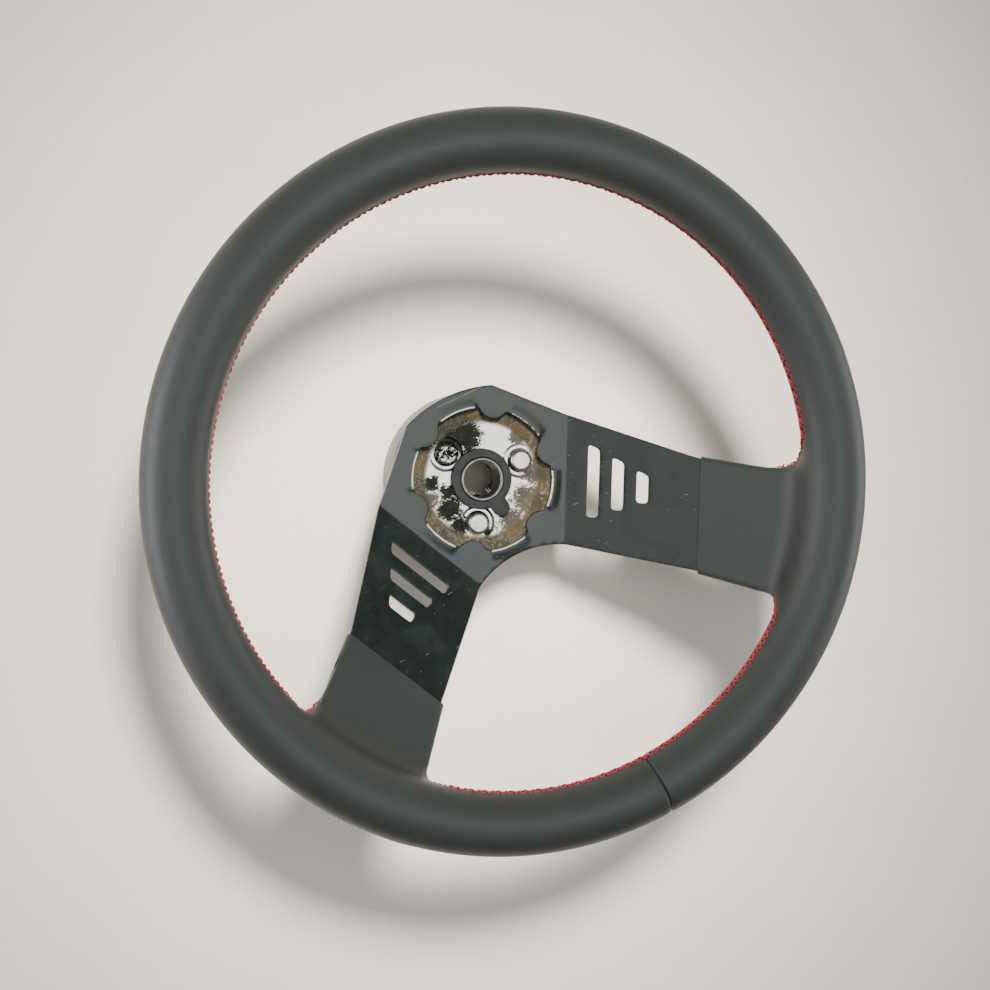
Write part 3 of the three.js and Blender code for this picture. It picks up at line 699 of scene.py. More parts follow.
class Steps:
    """Adds nodes to a geometry tree and links them."""

    def __init__(self, tree):
        self.tree = tree
        self.start = tree.nodes.new("NodeGroupInput")
        self.end = tree.nodes.new("NodeGroupOutput")

    def add(self, kind, settings=None, inputs=None):
        node = self.tree.nodes.new(kind)
        for key, value in (settings or {}).items():
            setattr(node, key, value)
        for key, value in (inputs or {}).items():
            socket = node.inputs[key]
            if isinstance(value, bpy.types.NodeSocket):
                self.tree.links.new(value, socket)
            else:
                socket.default_value = value
        return node

    def math(self, operation, *values):
        return self.add("ShaderNodeMath", {"operation": operation},
                        dict(enumerate(values))).outputs[0]

    def vector(self, x=0.0, y=0.0, z=0.0):
        return self.add("ShaderNodeCombineXYZ", {}, {0: x, 1: y, 2: z}).outputs[0]

    def finish(self, geometry, material):
        real = self.add("GeometryNodeRealizeInstances", {}, {0: geometry}).outputs[0]
        last = self.add("GeometryNodeSetMaterial", {}, {0: real, "Material": material})
        self.tree.links.new(last.outputs[0], self.end.inputs[0])


def grown(name, mesh, tree, sizes):
    """The plain mesh that a tree makes from a mesh and its named sizes."""
    obj = placed(name + "_seed", mesh)
    modifier = obj.modifiers.new("grow", "NODES")
    modifier.node_group = tree
    for item in tree.interface.items_tree:
        if item.in_out == "INPUT" and item.name in sizes:
            modifier[item.identifier] = sizes[item.name]
    bpy.context.view_layer.update()
    result = bpy.data.meshes.new_from_object(
        obj.evaluated_get(bpy.context.evaluated_depsgraph_get()))
    obj.modifiers.remove(modifier)
    bpy.data.objects.remove(obj)
    if not result.polygons:
        raise RuntimeError(f"{name}: its tree made nothing")
    return result


def round_tree():
    """Copies its mesh evenly round the axis."""
    tree = tree_with("round the axis", [
        ("Count", "NodeSocketInt", 3), ("Circle radius", "NodeSocketFloat", 0.02),
        ("First angle", "NodeSocketFloat", 0.0), ("Height", "NodeSocketFloat", 0.0),
        ("Finish", "NodeSocketMaterial", None)])
    s = Steps(tree)
    size = s.start.outputs
    index = s.add("GeometryNodeInputIndex").outputs[0]
    turn = s.math("ADD", s.math("DIVIDE", s.math("MULTIPLY", index, 2 * math.pi),
                                size["Count"]), size["First angle"])
    place = s.vector(s.math("MULTIPLY", size["Circle radius"], s.math("COSINE", turn)),
                     s.math("MULTIPLY", size["Circle radius"], s.math("SINE", turn)),
                     size["Height"])
    points = s.add("GeometryNodePoints", {}, {"Count": size["Count"], "Position": place})
    copies = s.add("GeometryNodeInstanceOnPoints", {}, {
        "Points": points.outputs[0], "Instance": size["Geometry"],
        "Rotation": s.add("FunctionNodeEulerToRotation", {}, {
            0: s.vector(0.0, 0.0, turn)}).outputs[0]})
    s.finish(copies.outputs[0], size["Finish"])
    return tree


def stitch_tree():
    """Sews crossed stitches at its mesh's points, along its seam."""
    tree = tree_with("crossed stitches", [
        ("Pitch", "NodeSocketFloat", 0.0065), ("Reach", "NodeSocketFloat", 0.002),
        ("Thread radius", "NodeSocketFloat", 0.0004), ("Sink", "NodeSocketFloat", 0.0005),
        ("Finish", "NodeSocketMaterial", None)])
    s = Steps(tree)
    size = s.start.outputs
    ring = s.add("GeometryNodeCurvePrimitiveCircle", {"mode": "RADIUS"},
                 {"Resolution": 6, "Radius": size["Thread radius"]}).outputs[0]
    half = s.math("MULTIPLY", size["Pitch"], 0.5)
    low = s.math("MULTIPLY", size["Sink"], -1.0)
    strokes = s.add("GeometryNodeJoinGeometry")
    for side, crown in ((1, 1.6), (-1, 4.2)):
        for start, end, way in ((-1, 0, side), (0, 1, -side)):
            ends = [s.vector(s.math("MULTIPLY", half, float(at)),
                             s.math("MULTIPLY", size["Reach"], float(across)), low)
                    for at, across in ((start, -way), (end, way))]
            middle = s.vector(s.math("MULTIPLY", half, (start + end) / 2), 0.0,
                              s.math("MULTIPLY", size["Thread radius"], crown))
            line = s.add("GeometryNodeCurveQuadraticBezier", {}, {
                "Resolution": 6, "Start": ends[0], "Middle": middle, "End": ends[1]})
            thread = s.add("GeometryNodeCurveToMesh", {}, {
                0: line.outputs[0], 1: ring, "Fill Caps": True})
            tree.links.new(thread.outputs[0], strokes.inputs[0])
    named = [s.add("GeometryNodeInputNamedAttribute", {"data_type": "FLOAT_VECTOR"},
                   {"Name": name}).outputs[0] for name in ("outward", "along")]
    turn = s.add("FunctionNodeAxesToRotation", {"primary_axis": "Z", "secondary_axis": "X"},
                 {0: named[0], 1: named[1]}).outputs[0]
    copies = s.add("GeometryNodeInstanceOnPoints", {}, {
        "Points": s.start.outputs["Geometry"], "Instance": strokes.outputs[0],
        "Rotation": turn})
    s.finish(copies.outputs[0], size["Finish"])
    return tree


def coil_tree():
    """A round wire wound in a helix about the axis."""
    tree = tree_with("wound spring", [
        ("Turns", "NodeSocketFloat", 3.0), ("Coil radius", "NodeSocketFloat", 0.024),
        ("Wire radius", "NodeSocketFloat", 0.0009), ("Base height", "NodeSocketFloat", 0.0),
        ("Length", "NodeSocketFloat", 0.012), ("Finish", "NodeSocketMaterial", None)])
    s = Steps(tree)
    size = s.start.outputs
    line = s.add("GeometryNodeCurveSpiral", {}, {
        "Resolution": 64, "Rotations": size["Turns"], "Start Radius": size["Coil radius"],
        "End Radius": size["Coil radius"], "Height": size["Length"]})
    ring = s.add("GeometryNodeCurvePrimitiveCircle", {"mode": "RADIUS"},
                 {"Resolution": 16, "Radius": size["Wire radius"]})
    wire = s.add("GeometryNodeCurveToMesh", {}, {
        0: line.outputs[0], 1: ring.outputs[0], "Fill Caps": True})
    lifted = s.add("GeometryNodeTransform", {}, {
        0: wire.outputs[0], "Translation": s.vector(0.0, 0.0, size["Base height"])})
    s.finish(lifted.outputs[0], size["Finish"])
    return tree


# ---------------------------------------------------------------- leather shape

SLEEVE_HALF = PLATE / 2 + LEATHER + GAP
SLEEVE_ROUND = 2.2              # rounding of the sleeves' folded edges
SLEEVE_BLEND = 15.0             # how softly a sleeve runs into the rim
SLEEVE_EDGE = ((-12.0, 16.3), (0.0, 14.9), (30.6, 10.8), (62.0, 9.8))
SLEEVE_FOOT = ((62.0, -52.6), (30.6, -51.7), (0.0, -44.9), (-12.0, -42.3))


def sleeve_frame(points, side):
    """Each point's distance up the sleeve from its mouth, across it, and off its middle."""
    u, v = spoke_frame(points, side)
    out, up = u - MOUTH, points[:, 2] - MOUTH_HEIGHT
    s = out * math.cos(SLOPE) + up * math.sin(SLOPE)
    w = -out * math.sin(SLOPE) + up * math.cos(SLOPE) + PLATE / 2
    return s, v, w


def sleeve_point(side, s, v, w):
    """The point that sleeve_frame gives s, v and w for."""
    w = w - PLATE / 2
    u = MOUTH + s * math.cos(SLOPE) - w * math.sin(SLOPE)
    x, y = spoke_point(side, u, v)
    return x, y, MOUTH_HEIGHT + s * math.sin(SLOPE) + w * math.cos(SLOPE)


def rim_point(degrees, latitude, radius=GRIP_RADIUS):
    """A point on the grip; latitude is from the inner equator, positive towards the driver."""
    a = math.radians(latitude)
    x, y = polar(RIM_RADIUS - radius * math.cos(a), degrees)
    return x, y, RIM_HEIGHT + radius * math.sin(a)


def polygon_distance(x, y, corners):
    """Distance from a polygon, negative inside it."""
    corners = np.array(corners)
    best = np.full(len(x), 1e9)
    odd = np.zeros(len(x), bool)
    for (ax, ay), (bx, by) in zip(corners, np.roll(corners, -1, axis=0)):
        ex, ey = bx - ax, by - ay
        t = np.clip(((x - ax) * ex + (y - ay) * ey) / (ex * ex + ey * ey), 0, 1)
        best = np.minimum(best, np.hypot(x - ax - t * ex, y - ay - t * ey))
        if ay != by:
            across = (y > ay) != (y > by)
            odd ^= across & (x < ax + (y - ay) * ex / ey)
    return np.where(odd, -best, best)


def leather_distance(points):
    """Distance from the leather's outer face, with the sleeves blended into the rim."""
    ring = np.hypot(np.hypot(points[:, 0], points[:, 1]) - RIM_RADIUS,
                    points[:, 2] - RIM_HEIGHT) - GRIP_RADIUS
    for side in (1, -1):
        near = np.nonzero(points[:, 0] * side > 40)[0]
        s, v, w = sleeve_frame(points[near], side)
        plan = polygon_distance(s, v, SLEEVE_EDGE + SLEEVE_FOOT) + SLEEVE_ROUND
        off = np.abs(w) - SLEEVE_HALF + SLEEVE_ROUND
        sleeve = (np.hypot(np.maximum(plan, 0), np.maximum(off, 0))
                  + np.minimum(np.maximum(plan, off), 0) - SLEEVE_ROUND)
        a = ring[near]
        h = np.clip(0.5 + 0.5 * (sleeve - a) / SLEEVE_BLEND, 0, 1)
        ring[near] = sleeve * (1 - h) + a * h - SLEEVE_BLEND * h * (1 - h)
    return ring


def leather_normals(points, step=0.05):
    """Outward unit normals of the leather's outer face."""
    slopes = np.stack([
        leather_distance(points + step * axis) - leather_distance(points - step * axis)
        for axis in np.eye(3)], axis=1)
    return slopes / np.maximum(np.linalg.norm(slopes, axis=1), 1e-9)[:, None]


def onto_leather(points, rounds=5):
    """The points moved onto the leather's outer face."""
    for _ in range(rounds):
        points = points - leather_normals(points) * leather_distance(points)[:, None]
    return points


def seam_lines():
    """The two sewn seams: from sleeve to sleeve over twelve o'clock, and past six o'clock."""
    lines = []
    for first, last, edge, turn in (
            (74.0, 286.0, SLEEVE_EDGE, 1), (37.4, -37.4, SLEEVE_FOOT, -1)):
        rail = [p for p in edge if 0 <= p[0] <= 31]
        mouth_v, waist_v = [p[1] for p in sorted(rail)]

        def end(side, degrees):
            """Under the sleeve from its mouth, round its edge and onto the rim."""
            under = ((0.6, mouth_v, -6.0, 1.0), (14.0, mouth_v, -6.5, 1.0),
                     (30.0, waist_v, -5.5, 1.0), (38.0, waist_v, -2.0, 1.0),
                     (42.5, waist_v, 1.5, 0.6))
            return [sleeve_point(side, s, v + turn * off, -SLEEVE_HALF * depth)
                    for s, v, off, depth in under] + [
                        rim_point(side * (degrees - turn * 1.6), -13.0),
                        rim_point(side * degrees, -3.0)]
        right = end(1, first)
        left = end(-1, first)[::-1]
        sweep = np.linspace(first + turn * 3, last - turn * 3, 120)
        line = np.array(right + [rim_point(a, 0.0) for a in sweep] + left)
        for _ in range(3):
            a, b = line[:-1], line[1:]
            smooth = np.empty((2 * len(a), 3))
            smooth[0::2], smooth[1::2] = 0.75 * a + 0.25 * b, 0.25 * a + 0.75 * b
            line = np.concatenate([line[:1], smooth, line[-1:]])
        line = resampled(line, 0.5)
        line = onto_leather(line, 8)
        for _ in range(6):
            line[1:-1] = 0.25 * line[:-2] + 0.5 * line[1:-1] + 0.25 * line[2:]
        lines.append(onto_leather(resampled(line, 0.5), 4))
    return lines


def resampled(line, step):
    """The line with evenly spaced points, about step apart."""
    lengths = np.concatenate([[0], np.cumsum(np.linalg.norm(np.diff(line, axis=0), axis=1))])
    count = max(2, int(round(lengths[-1] / step)) + 1)
    at = np.linspace(0, lengths[-1], count)
    return np.stack([np.interp(at, lengths, line[:, k]) for k in range(3)], axis=1)


def spoke_slab(side, low, high, start, end, top_v, foot_v, grow=0.0):
    """A closed slab along a spoke between two offsets from the plate's middle."""
    corners = [(start, top_v[0] + grow), (end, top_v[1] + grow),
               (end, foot_v[1] - grow), (start, foot_v[0] - grow)]
    return prism(*[[sleeve_point(side, s, v, w) for s, v in corners] for w in (low, high)])


def plate_room(side):
    """The space that the plate takes inside the leather and the foam."""
    slant = math.cos(SLOPE)
    reach = (TIP + 0.6 - MOUTH) / slant
    return spoke_slab(side, -PLATE / 2 - GAP, PLATE / 2 + GAP, -20.0, reach,
                      (13.4 + 5.4 * 20 / 45, 8.6), (-43.4 + 6.6 * 20 / 45, -49.9), GAP)


# ---------------------------------------------------------------- settings

def length(name, description, default):
    return FloatProperty(name=name, description=description, default=default, unit="LENGTH")


def tint(name, description, default):
    return FloatVectorProperty(
        name=name, description=description, default=default, subtype="COLOR")


class WHEEL_PG_sizes(bpy.types.PropertyGroup):
    """Sizes of the pieces that repeat or that a user would change."""

    stitch_pitch: length("Stitch pitch", "Length of one crossed stitch along the seam", 0.0066)
    stitch_reach: length("Stitch reach", "Distance from the seam to the stitch holes", 0.0021)
    thread_radius: length("Thread radius", "Radius of the sewing thread", 0.00042)
    seam_depth: length("Seam depth", "Depth of the valley that the stitches pull", 0.0006)
    leather_grid: length("Leather grid", "Grid size of the leather's mesh", 0.00135)
    rivet_count: IntProperty(
        name="Rivets", description="Number of rivets that hold the dish", default=3)
    rivet_circle: length("Rivet circle", "Radius of the circle that the rivets stand on", 0.0227)
    spring_turns: FloatProperty(
        name="Spring turns", description="Turns of the collar spring", default=3.0)


class WHEEL_PG_colours(bpy.types.PropertyGroup):
    """Colours of the finishes."""

    leather: tint("Leather", "Colour of the leather cover", (0.0155, 0.0182, 0.0162))
    thread: tint("Thread", "Colour of the stitching", (0.46, 0.012, 0.022))
    paint: tint("Paint", "Colour of the spoke plate's paint", (0.0045, 0.0068, 0.0060))
    floor: tint("Floor", "Colour of the floor", (0.87, 0.79, 0.70))


def colour_of(context, name):
    """One of the scene's finish colours."""
    return tuple(getattr(context.scene.wheel_colours, name))


# ---------------------------------------------------------------- operators

class WHEEL_OT_stage(bpy.types.Operator):
    """Lay the pale floor, hang the lights and set the camera"""

    bl_idname = "wheel.stage"
    bl_label = "Stage"

    def execute(self, context):
        floor = placed("floor", faced(
            [(x, y, 0) for x, y in ((-4e3, -4e3), (4e3, -4e3), (4e3, 4e3), (-4e3, 4e3))],
            [(0, 1, 2, 3)]))
        floor.data.materials.append(floor_finish(colour_of(context, "floor")))
        if floor.data.polygons[0].normal.z < 0:
            floor.data.flip_normals()

        # every light faces the middle of the wheel; across points level, to ten o'clock
        aim = Vector((0, 0, 60)) * MM
        across = Vector((-0.907, 0.421, 0))

        def panel(name, away, distance, width, depth, radiance, colour=(1, 1, 1)):
            """A soft light that faces the wheel, with its width along the spokes' side."""
            light = bpy.data.lights.new(name, "AREA")
            light.shape, light.size, light.size_y = "RECTANGLE", width, depth
            light.energy, light.color = radiance * math.pi * width * depth, colour
            lamp = bpy.data.objects.new(name, light)
            context.scene.collection.objects.link(lamp)
            z = away.normalized()
            y = z.cross(across).normalized()
            x = y.cross(z)
            turn = Matrix((x, y, z)).transposed().to_4x4()
            lamp.matrix_world = Matrix.Translation(aim + z * distance) @ turn

        def tilted(degrees):
            a = math.radians(degrees)
            return across * math.sin(a) + Vector((0, 0, math.cos(a)))

        panel("overhead panel", tilted(-5), 1.9, 1.6, 1.1, 1.95, (0.98, 1.0, 0.97))
        panel("side panel", tilted(35.3), 1.9, 1.2, 1.2, 0.85, (0.97, 1.0, 0.96))
        panel("left light", tilted(84), 1.7, 0.5, 1.5, 9.0, (0.90, 0.93, 1.0))
        panel("right light", tilted(-82), 1.9, 0.5, 1.2, 6.0, (0.94, 0.96, 1.0))
        lamp = bpy.data.lights.new("key light", "SPOT")
        lamp.energy, lamp.color, lamp.shadow_soft_size = 410.0, (1.0, 0.975, 0.945), 0.22
        lamp.spot_size, lamp.spot_blend = math.radians(26), 1.0
        key = bpy.data.objects.new("key light", lamp)
        context.scene.collection.objects.link(key)
        key.visible_glossy = False
        away = Vector((0.21, 0.44, 0.87)).normalized()
        key.matrix_world = Matrix.Translation(aim + away * 1.7) @ (
            away.to_track_quat("Z", "Y").to_matrix().to_4x4())

        world = bpy.data.worlds.new("studio")
        world.use_nodes = True
        back = world.node_tree.nodes["Background"]
        back.inputs["Color"].default_value = (0.93, 0.97, 1.0, 1.0)
        back.inputs["Strength"].default_value = 0.16
        context.scene.world = world

        view = bpy.data.cameras.new("camera")
        view.lens, view.sensor_width, view.sensor_fit = 56.97, 36.0, "HORIZONTAL"
        view.clip_start, view.clip_end = 0.01, 50.0
        camera = bpy.data.objects.new("camera", view)
        context.scene.collection.objects.link(camera)
        right, up = Vector((0.8777, -0.4078, 0.2516)), Vector((0.4322, 0.9005, -0.0484))
        back = right.cross(up).normalized()
        up = back.cross(right).normalized()
        right.normalize()
        camera.matrix_world = Matrix((
            (right.x, up.x, back.x, -0.1646), (right.y, up.y, back.y, 0.1120),
            (right.z, up.z, back.z, 0.8212), (0, 0, 0, 1)))
        context.scene.camera = camera
        return {"FINISHED"}


class WHEEL_OT_leather(bpy.types.Operator):
    """Shape the leather cover with its sleeves, seams and inside"""

    bl_idname = "wheel.leather_cover"
    bl_label = "Leather cover"

    def execute(self, context):
        sizes = context.scene.wheel_sizes
        # a rough body, remeshed evenly and then moved onto the leather's true face
        rough = placed("rough", tube(RIM_RADIUS, GRIP_RADIUS - 0.3, RIM_HEIGHT, 256, 40))
        for side in (1, -1):
            slab = placed("slab", prism(*[
                [sleeve_point(side, s, v, w) for s, v in SLEEVE_EDGE + SLEEVE_FOOT]
                for w in (-SLEEVE_HALF, SLEEVE_HALF)]))
            with context.temp_override(active_object=rough, object=rough,
                                       selected_editable_objects=[rough, slab]):
                bpy.ops.object.join()
        remesh = rough.modifiers.new("grid", "REMESH")
        remesh.mode = "VOXEL"
        remesh.voxel_size = sizes.leather_grid * 1
        context.view_layer.update()
        mesh = bpy.data.meshes.new_from_object(
            rough.evaluated_get(context.evaluated_depsgraph_get()))
        bpy.data.objects.remove(rough)

        seams = seam_lines()
        sewn = np.concatenate(seams)
        tree = kdtree.KDTree(len(sewn))
        for i, p in enumerate(sewn):
            tree.insert(p, i)
        tree.balance()

        bm = bmesh.new()
        bm.from_mesh(mesh)
        bm.verts.ensure_lookup_table()
        co = onto_leather(np.array([v.co for v in bm.verts]) / MM, 6)
        for v, p in zip(bm.verts, co):
            v.co = p
        # two rounds of finer mesh near the seams and near the joint at six o'clock
        for near_seam, near_joint in ((3.4, 2.6), (1.8, 1.3)):
            fine = set()
            for v in bm.verts:
                p = v.co
                if (p.y < -100 and abs(p.x) < near_joint) or (
                        math.hypot(p.x, p.y) < RIM_RADIUS - 4 and tree.find(p)[2] < near_seam):
                    fine.add(v)
            edges = [e for e in bm.edges if e.verts[0] in fine and e.verts[1] in fine]
            bmesh.ops.subdivide_edges(bm, edges=edges, cuts=1, use_grid_fill=True)
            bmesh.ops.triangulate(bm, faces=[f for f in bm.faces if len(f.verts) > 4])
        bm.verts.ensure_lookup_table()
        co = onto_leather(np.array([v.co for v in bm.verts]), 4)
        normal = leather_normals(co)
        gap = np.array([tree.find(p)[2] if math.hypot(p[0], p[1]) < RIM_RADIUS - 2 else 99.0
                        for p in co])
        # the stitches pull a valley and raise a low welt on each side of it
        depth, welt = sizes.seam_depth / MM, 0.25 * sizes.seam_depth / MM
        sink = depth * np.exp(-(gap / 0.8) ** 2) - welt * np.exp(-((gap - 2.3) / 0.9) ** 2)
        off = co[:, 0] + (co[:, 2] - RIM_HEIGHT) * JOINT_LEAN
        # the joint is a wide dip with a narrow cut in its middle
        joint = np.where(co[:, 1] < -100, np.abs(off), 99.0)
        sink += 0.42 * np.exp(-(joint / 1.5) ** 2) + 0.55 * np.exp(-(joint / 0.42) ** 2)
        co = co - normal * sink[:, None]
        layer = bm.verts.layers.float.new("seam")
        for v, p, g in zip(bm.verts, co, gap):
            v.co = Vector(p) * MM
            v[layer] = math.exp(-(g / 0.55) ** 2)
        bm.to_mesh(mesh)
        bm.free()

        inner = tube(RIM_RADIUS, FOAM_RADIUS + GAP, RIM_HEIGHT, 192, 32)
        ends = [spoke_slab(side, -12.0, 12.0, -30.0, 0.0, (30, 30), (-60, -60))
                for side in (1, -1)]
        mesh = cut(mesh, [*ends, inner, plate_room(1), plate_room(-1)])
        cover = piece("leather_cover_skin", mesh,
                      leather_finish(colour_of(context, "leather")),
                      "wheel", ["leather_cover"], sharp=50)
        return {"FINISHED"}


class WHEEL_OT_stitches(bpy.types.Operator):
    """Sew the crossed red stitches along the leather's seams"""

    bl_idname = "wheel.stitches"
    bl_label = "Stitches"

    def execute(self, context):
        sizes = context.scene.wheel_sizes
        points, along = [], []
        for line in seam_lines():
            line = resampled(line, sizes.stitch_pitch / MM)
            run = np.gradient(line, axis=0)
            points.append(line[1:-1])
            along.append(run[1:-1] / np.linalg.norm(run[1:-1], axis=1)[:, None])
        points, along = np.concatenate(points), np.concatenate(along)
        outward = leather_normals(points)
        path = bpy.data.meshes.new("seam points")
        path.from_pydata([Vector(p) * MM for p in points], [], [])
        for name, data in (("outward", outward), ("along", along)):
            made = path.attributes.new(name, "FLOAT_VECTOR", "POINT")
            made.data.foreach_set("vector", data.astype(np.float32).ravel())
        finish = thread_finish(colour_of(context, "thread"))
        mesh = grown("stitches", path, stitch_tree(), {
            "Pitch": sizes.stitch_pitch, "Reach": sizes.stitch_reach,
            "Thread radius": sizes.thread_radius, "Sink": 0.0005, "Finish": finish})
        obj = placed("rim_stitches", mesh)
        mesh.shade_smooth()
        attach(obj, "wheel")
        return {"FINISHED"}


class WHEEL_OT_grip(bpy.types.Operator):
    """Mould the foam grip and roll the steel core inside the leather"""

    bl_idname = "wheel.grip"
    bl_label = "Foam grip and core"

    def execute(self, context):
        foam = cut(tube(RIM_RADIUS, FOAM_RADIUS, RIM_HEIGHT, 192, 32),
                   [tube(RIM_RADIUS, CORE_RADIUS + GAP, RIM_HEIGHT, 192, 24),
                    plate_room(1), plate_room(-1)])
        grip = piece("foam_grip_core", foam, soft_finish(
            "closed cell foam", (0.055, 0.055, 0.05), (0.03, 0.03, 0.028), 0.9, 0.8, 0.12),
            "wheel", ["foam_grip"])
        piece("rim_core_tube", tube(RIM_RADIUS, CORE_RADIUS, RIM_HEIGHT, 192, 24), metal_finish(
            "rolled steel tube", (0.20, 0.20, 0.20), (0.10, 0.09, 0.085), 0.5, 1.4, 0.03,
            spots=0.6), "wheel", ["rim_core"])
        return {"FINISHED"}


class WHEEL_OT_plate(bpy.types.Operator):
    """Stamp, slot and bend the two-spoke plate"""

    bl_idname = "wheel.spoke_plate"
    bl_label = "Spoke plate"

    @staticmethod
    def half_outline(side):
        """One side of the plate, from twelve o'clock round to six: x, y and rounding."""
        corner = spoke_point(side, 3.3, 48.6)
        kink = spoke_point(side, 44.7, -33.2)
        bow = bowed(corner[0], HUB_CROWN - corner[1])
        spread = math.asin(abs(corner[0]) / bow)
        points = [(side * bow * math.sin(spread * i / 6),
                   HUB_CROWN - bow * (1 - math.cos(spread * i / 6)), 0) for i in range(6)]
        points.append((*corner, 0.9))
        points.append((*spoke_point(side, MOUTH, 13.4), 6.0))
        points.append((*spoke_point(side, TIP, 8.5), 2.0))
        for v in (-5.0, -20.0, -35.0):
            points.append((*spoke_point(side, math.sqrt(TIP * TIP - v * v), v), 3.0))
        points.append((*spoke_point(side, math.sqrt(TIP * TIP - 49.6 ** 2), -49.6), 2.0))
        points.append((*spoke_point(side, MOUTH, -43.4), 6.0))
        points.append((*kink, 3.5))
        radius = bowed(kink[0], -HUB_THROAT - kink[1])
        spread = math.asin(abs(kink[0]) / radius)
        for i in range(1, 9):
            a = spread * (1 - i / 8)
            points.append((side * radius * math.sin(a),
                           -HUB_THROAT - radius * (1 - math.cos(a)), 0))
        return points

    @staticmethod
    def lift(flat):
        """Height of the six raised lips round the opening."""
        radius = np.hypot(flat[:, 0], flat[:, 1])
        turn = np.degrees(np.arctan2(flat[:, 1], flat[:, 0])) + 90 - TAB_TURN
        off = np.abs((turn + 30) % 60 - 30)
        foot, crest, half_length, fade = 43.9, 37.2, 19.0, 6.5
        ramp = eased((foot - radius) / (foot - crest))
        return LIP_RISE * ramp * eased((half_length - off) / fade)

    @classmethod
    def surface(cls, flat):
        """Points on the plate's front face, the bent sheet's normals and the lips' lift."""
        x, y = flat[:, 0], flat[:, 1]
        side = np.where(x < 0, -1.0, 1.0)
        s, c = math.sin(SPOKE_ANGLE), math.cos(SPOKE_ANGLE)
        u = side * x * s - y * c
        bend = np.arcsin(np.clip((u - BEND_START) / BEND_RADIUS, 0, math.sin(SLOPE)))
        z = (PLATE_TOP + BEND_RADIUS * (1 - np.cos(bend))
             + np.maximum(u - BEND_END, 0) * math.tan(SLOPE))
        normal = np.stack([-np.sin(bend) * side * s, np.sin(bend) * c, np.cos(bend)], axis=1)
        return np.stack([x, y, z], axis=1), normal, cls.lift(flat)

    @staticmethod
    def opening():
        """The horn-button opening with its six rounded tabs."""
        centre = OPENING - TAB_REACH + TAB_RADIUS
        turn = np.radians(np.arange(0, 360, 0.75))
        off = np.radians((np.degrees(turn) + 90 - TAB_TURN) % 60 - 30)
        across = centre * np.sin(off)
        near = np.where(np.abs(across) < TAB_RADIUS, centre * np.cos(off) - np.sqrt(
            np.maximum(TAB_RADIUS ** 2 - across ** 2, 0)), OPENING + 9)
        soft = 0.3
        radius = -soft * np.log(np.exp(-(near - OPENING) / soft) + 1) + OPENING
        return np.stack([radius * np.cos(turn), radius * np.sin(turn)], axis=1)

    def execute(self, context):
        right, left = self.half_outline(1), self.half_outline(-1)
        loop = right + left[::-1][1:-1]
        outline = dense(rounded([p[:2] for p in loop], [p[2] for p in loop]), 1.4)
        opening = dense([tuple(p) for p in self.opening()], 1.0)
        slots, first_slot, slot_width, slot_pitch = [], 53.7, 5.3, 11
        for side in (1, -1):
            for i in range(3):
                near = first_slot + slot_pitch * i
                far = near + slot_width
                outer, inner = 19.4 - 6.35 * i, -18.4 + 4.2 * i
                corners = [(near, inner), (far, inner), (far, outer - 2.6), (near, outer)]
                slots.append(dense(rounded(
                    [spoke_point(side, u, v) for u, v in corners], 2.0, 5), 0.9))
        grid, lips_end, bend_room = 2.4, 45.2, 2.4
        inner = [(x, y) for x in np.arange(-150, 150.1, grid)
                 for y in np.arange(-90, 60.1, grid) if math.hypot(x, y) > lips_end]
        for radius in (37.6, 38.3, 38.9, 39.6, 40.4, 41.3, 42.2, 43.1, 44.2):
            inner += arc(radius, np.radians(np.arange(0, 360, 1.5)))
        rows = [BEND_START + BEND_RADIUS * math.sin(SLOPE * k / 4) for k in range(5)]
        inner = [p for p in inner if not any(
            abs(side * p[0] * math.sin(SPOKE_ANGLE) - p[1] * math.cos(SPOKE_ANGLE)
                - (BEND_START + BEND_END) / 2) < bend_room for side in (1, -1))]
        for side in (1, -1):
            inner += [spoke_point(side, u, v) for u in rows for v in np.arange(-45, 50, 1.3)]
        points, faces = sheet_mesh(outline, [opening, *slots], self.surface, PLATE,
                                   PLATE_EDGE, inner)
        mesh = faced(points, faces)
        co = np.empty(3 * len(mesh.vertices))
        mesh.vertices.foreach_get("co", co)
        co = co.reshape(-1, 3) / MM
        raised = self.lift(co[:, :2]) / LIP_RISE
        front = co[:, 2] > PLATE_TOP - 0.7
        radius = np.hypot(co[:, 0], co[:, 1])
        turn = np.degrees(np.arctan2(co[:, 1], co[:, 0])) + 90
        # the lips at six, four and two o'clock kept some paint, the others are rubbed bright
        kept = np.ones(len(co))
        for lip, share in ((57, 0.62), (117, 0.50), (-3, 0.80)):
            kept = np.where(np.abs((turn - lip + 180) % 360 - 180) < 30, share, kept)
        wear = np.clip((raised - 0.5) / 0.3, 0, 1) * front * (radius < 37.9) * kept
        made = mesh.attributes.new("wear", "FLOAT", "POINT")
        made.data.foreach_set("value", wear.astype(np.float32))
        piece("spoke_plate", mesh, paint_finish(colour_of(context, "paint")),
              "wheel", ["spider_plate"], sharp=24)
        return {"FINISHED"}


# ---------------------------------------------------------------- hub sizes

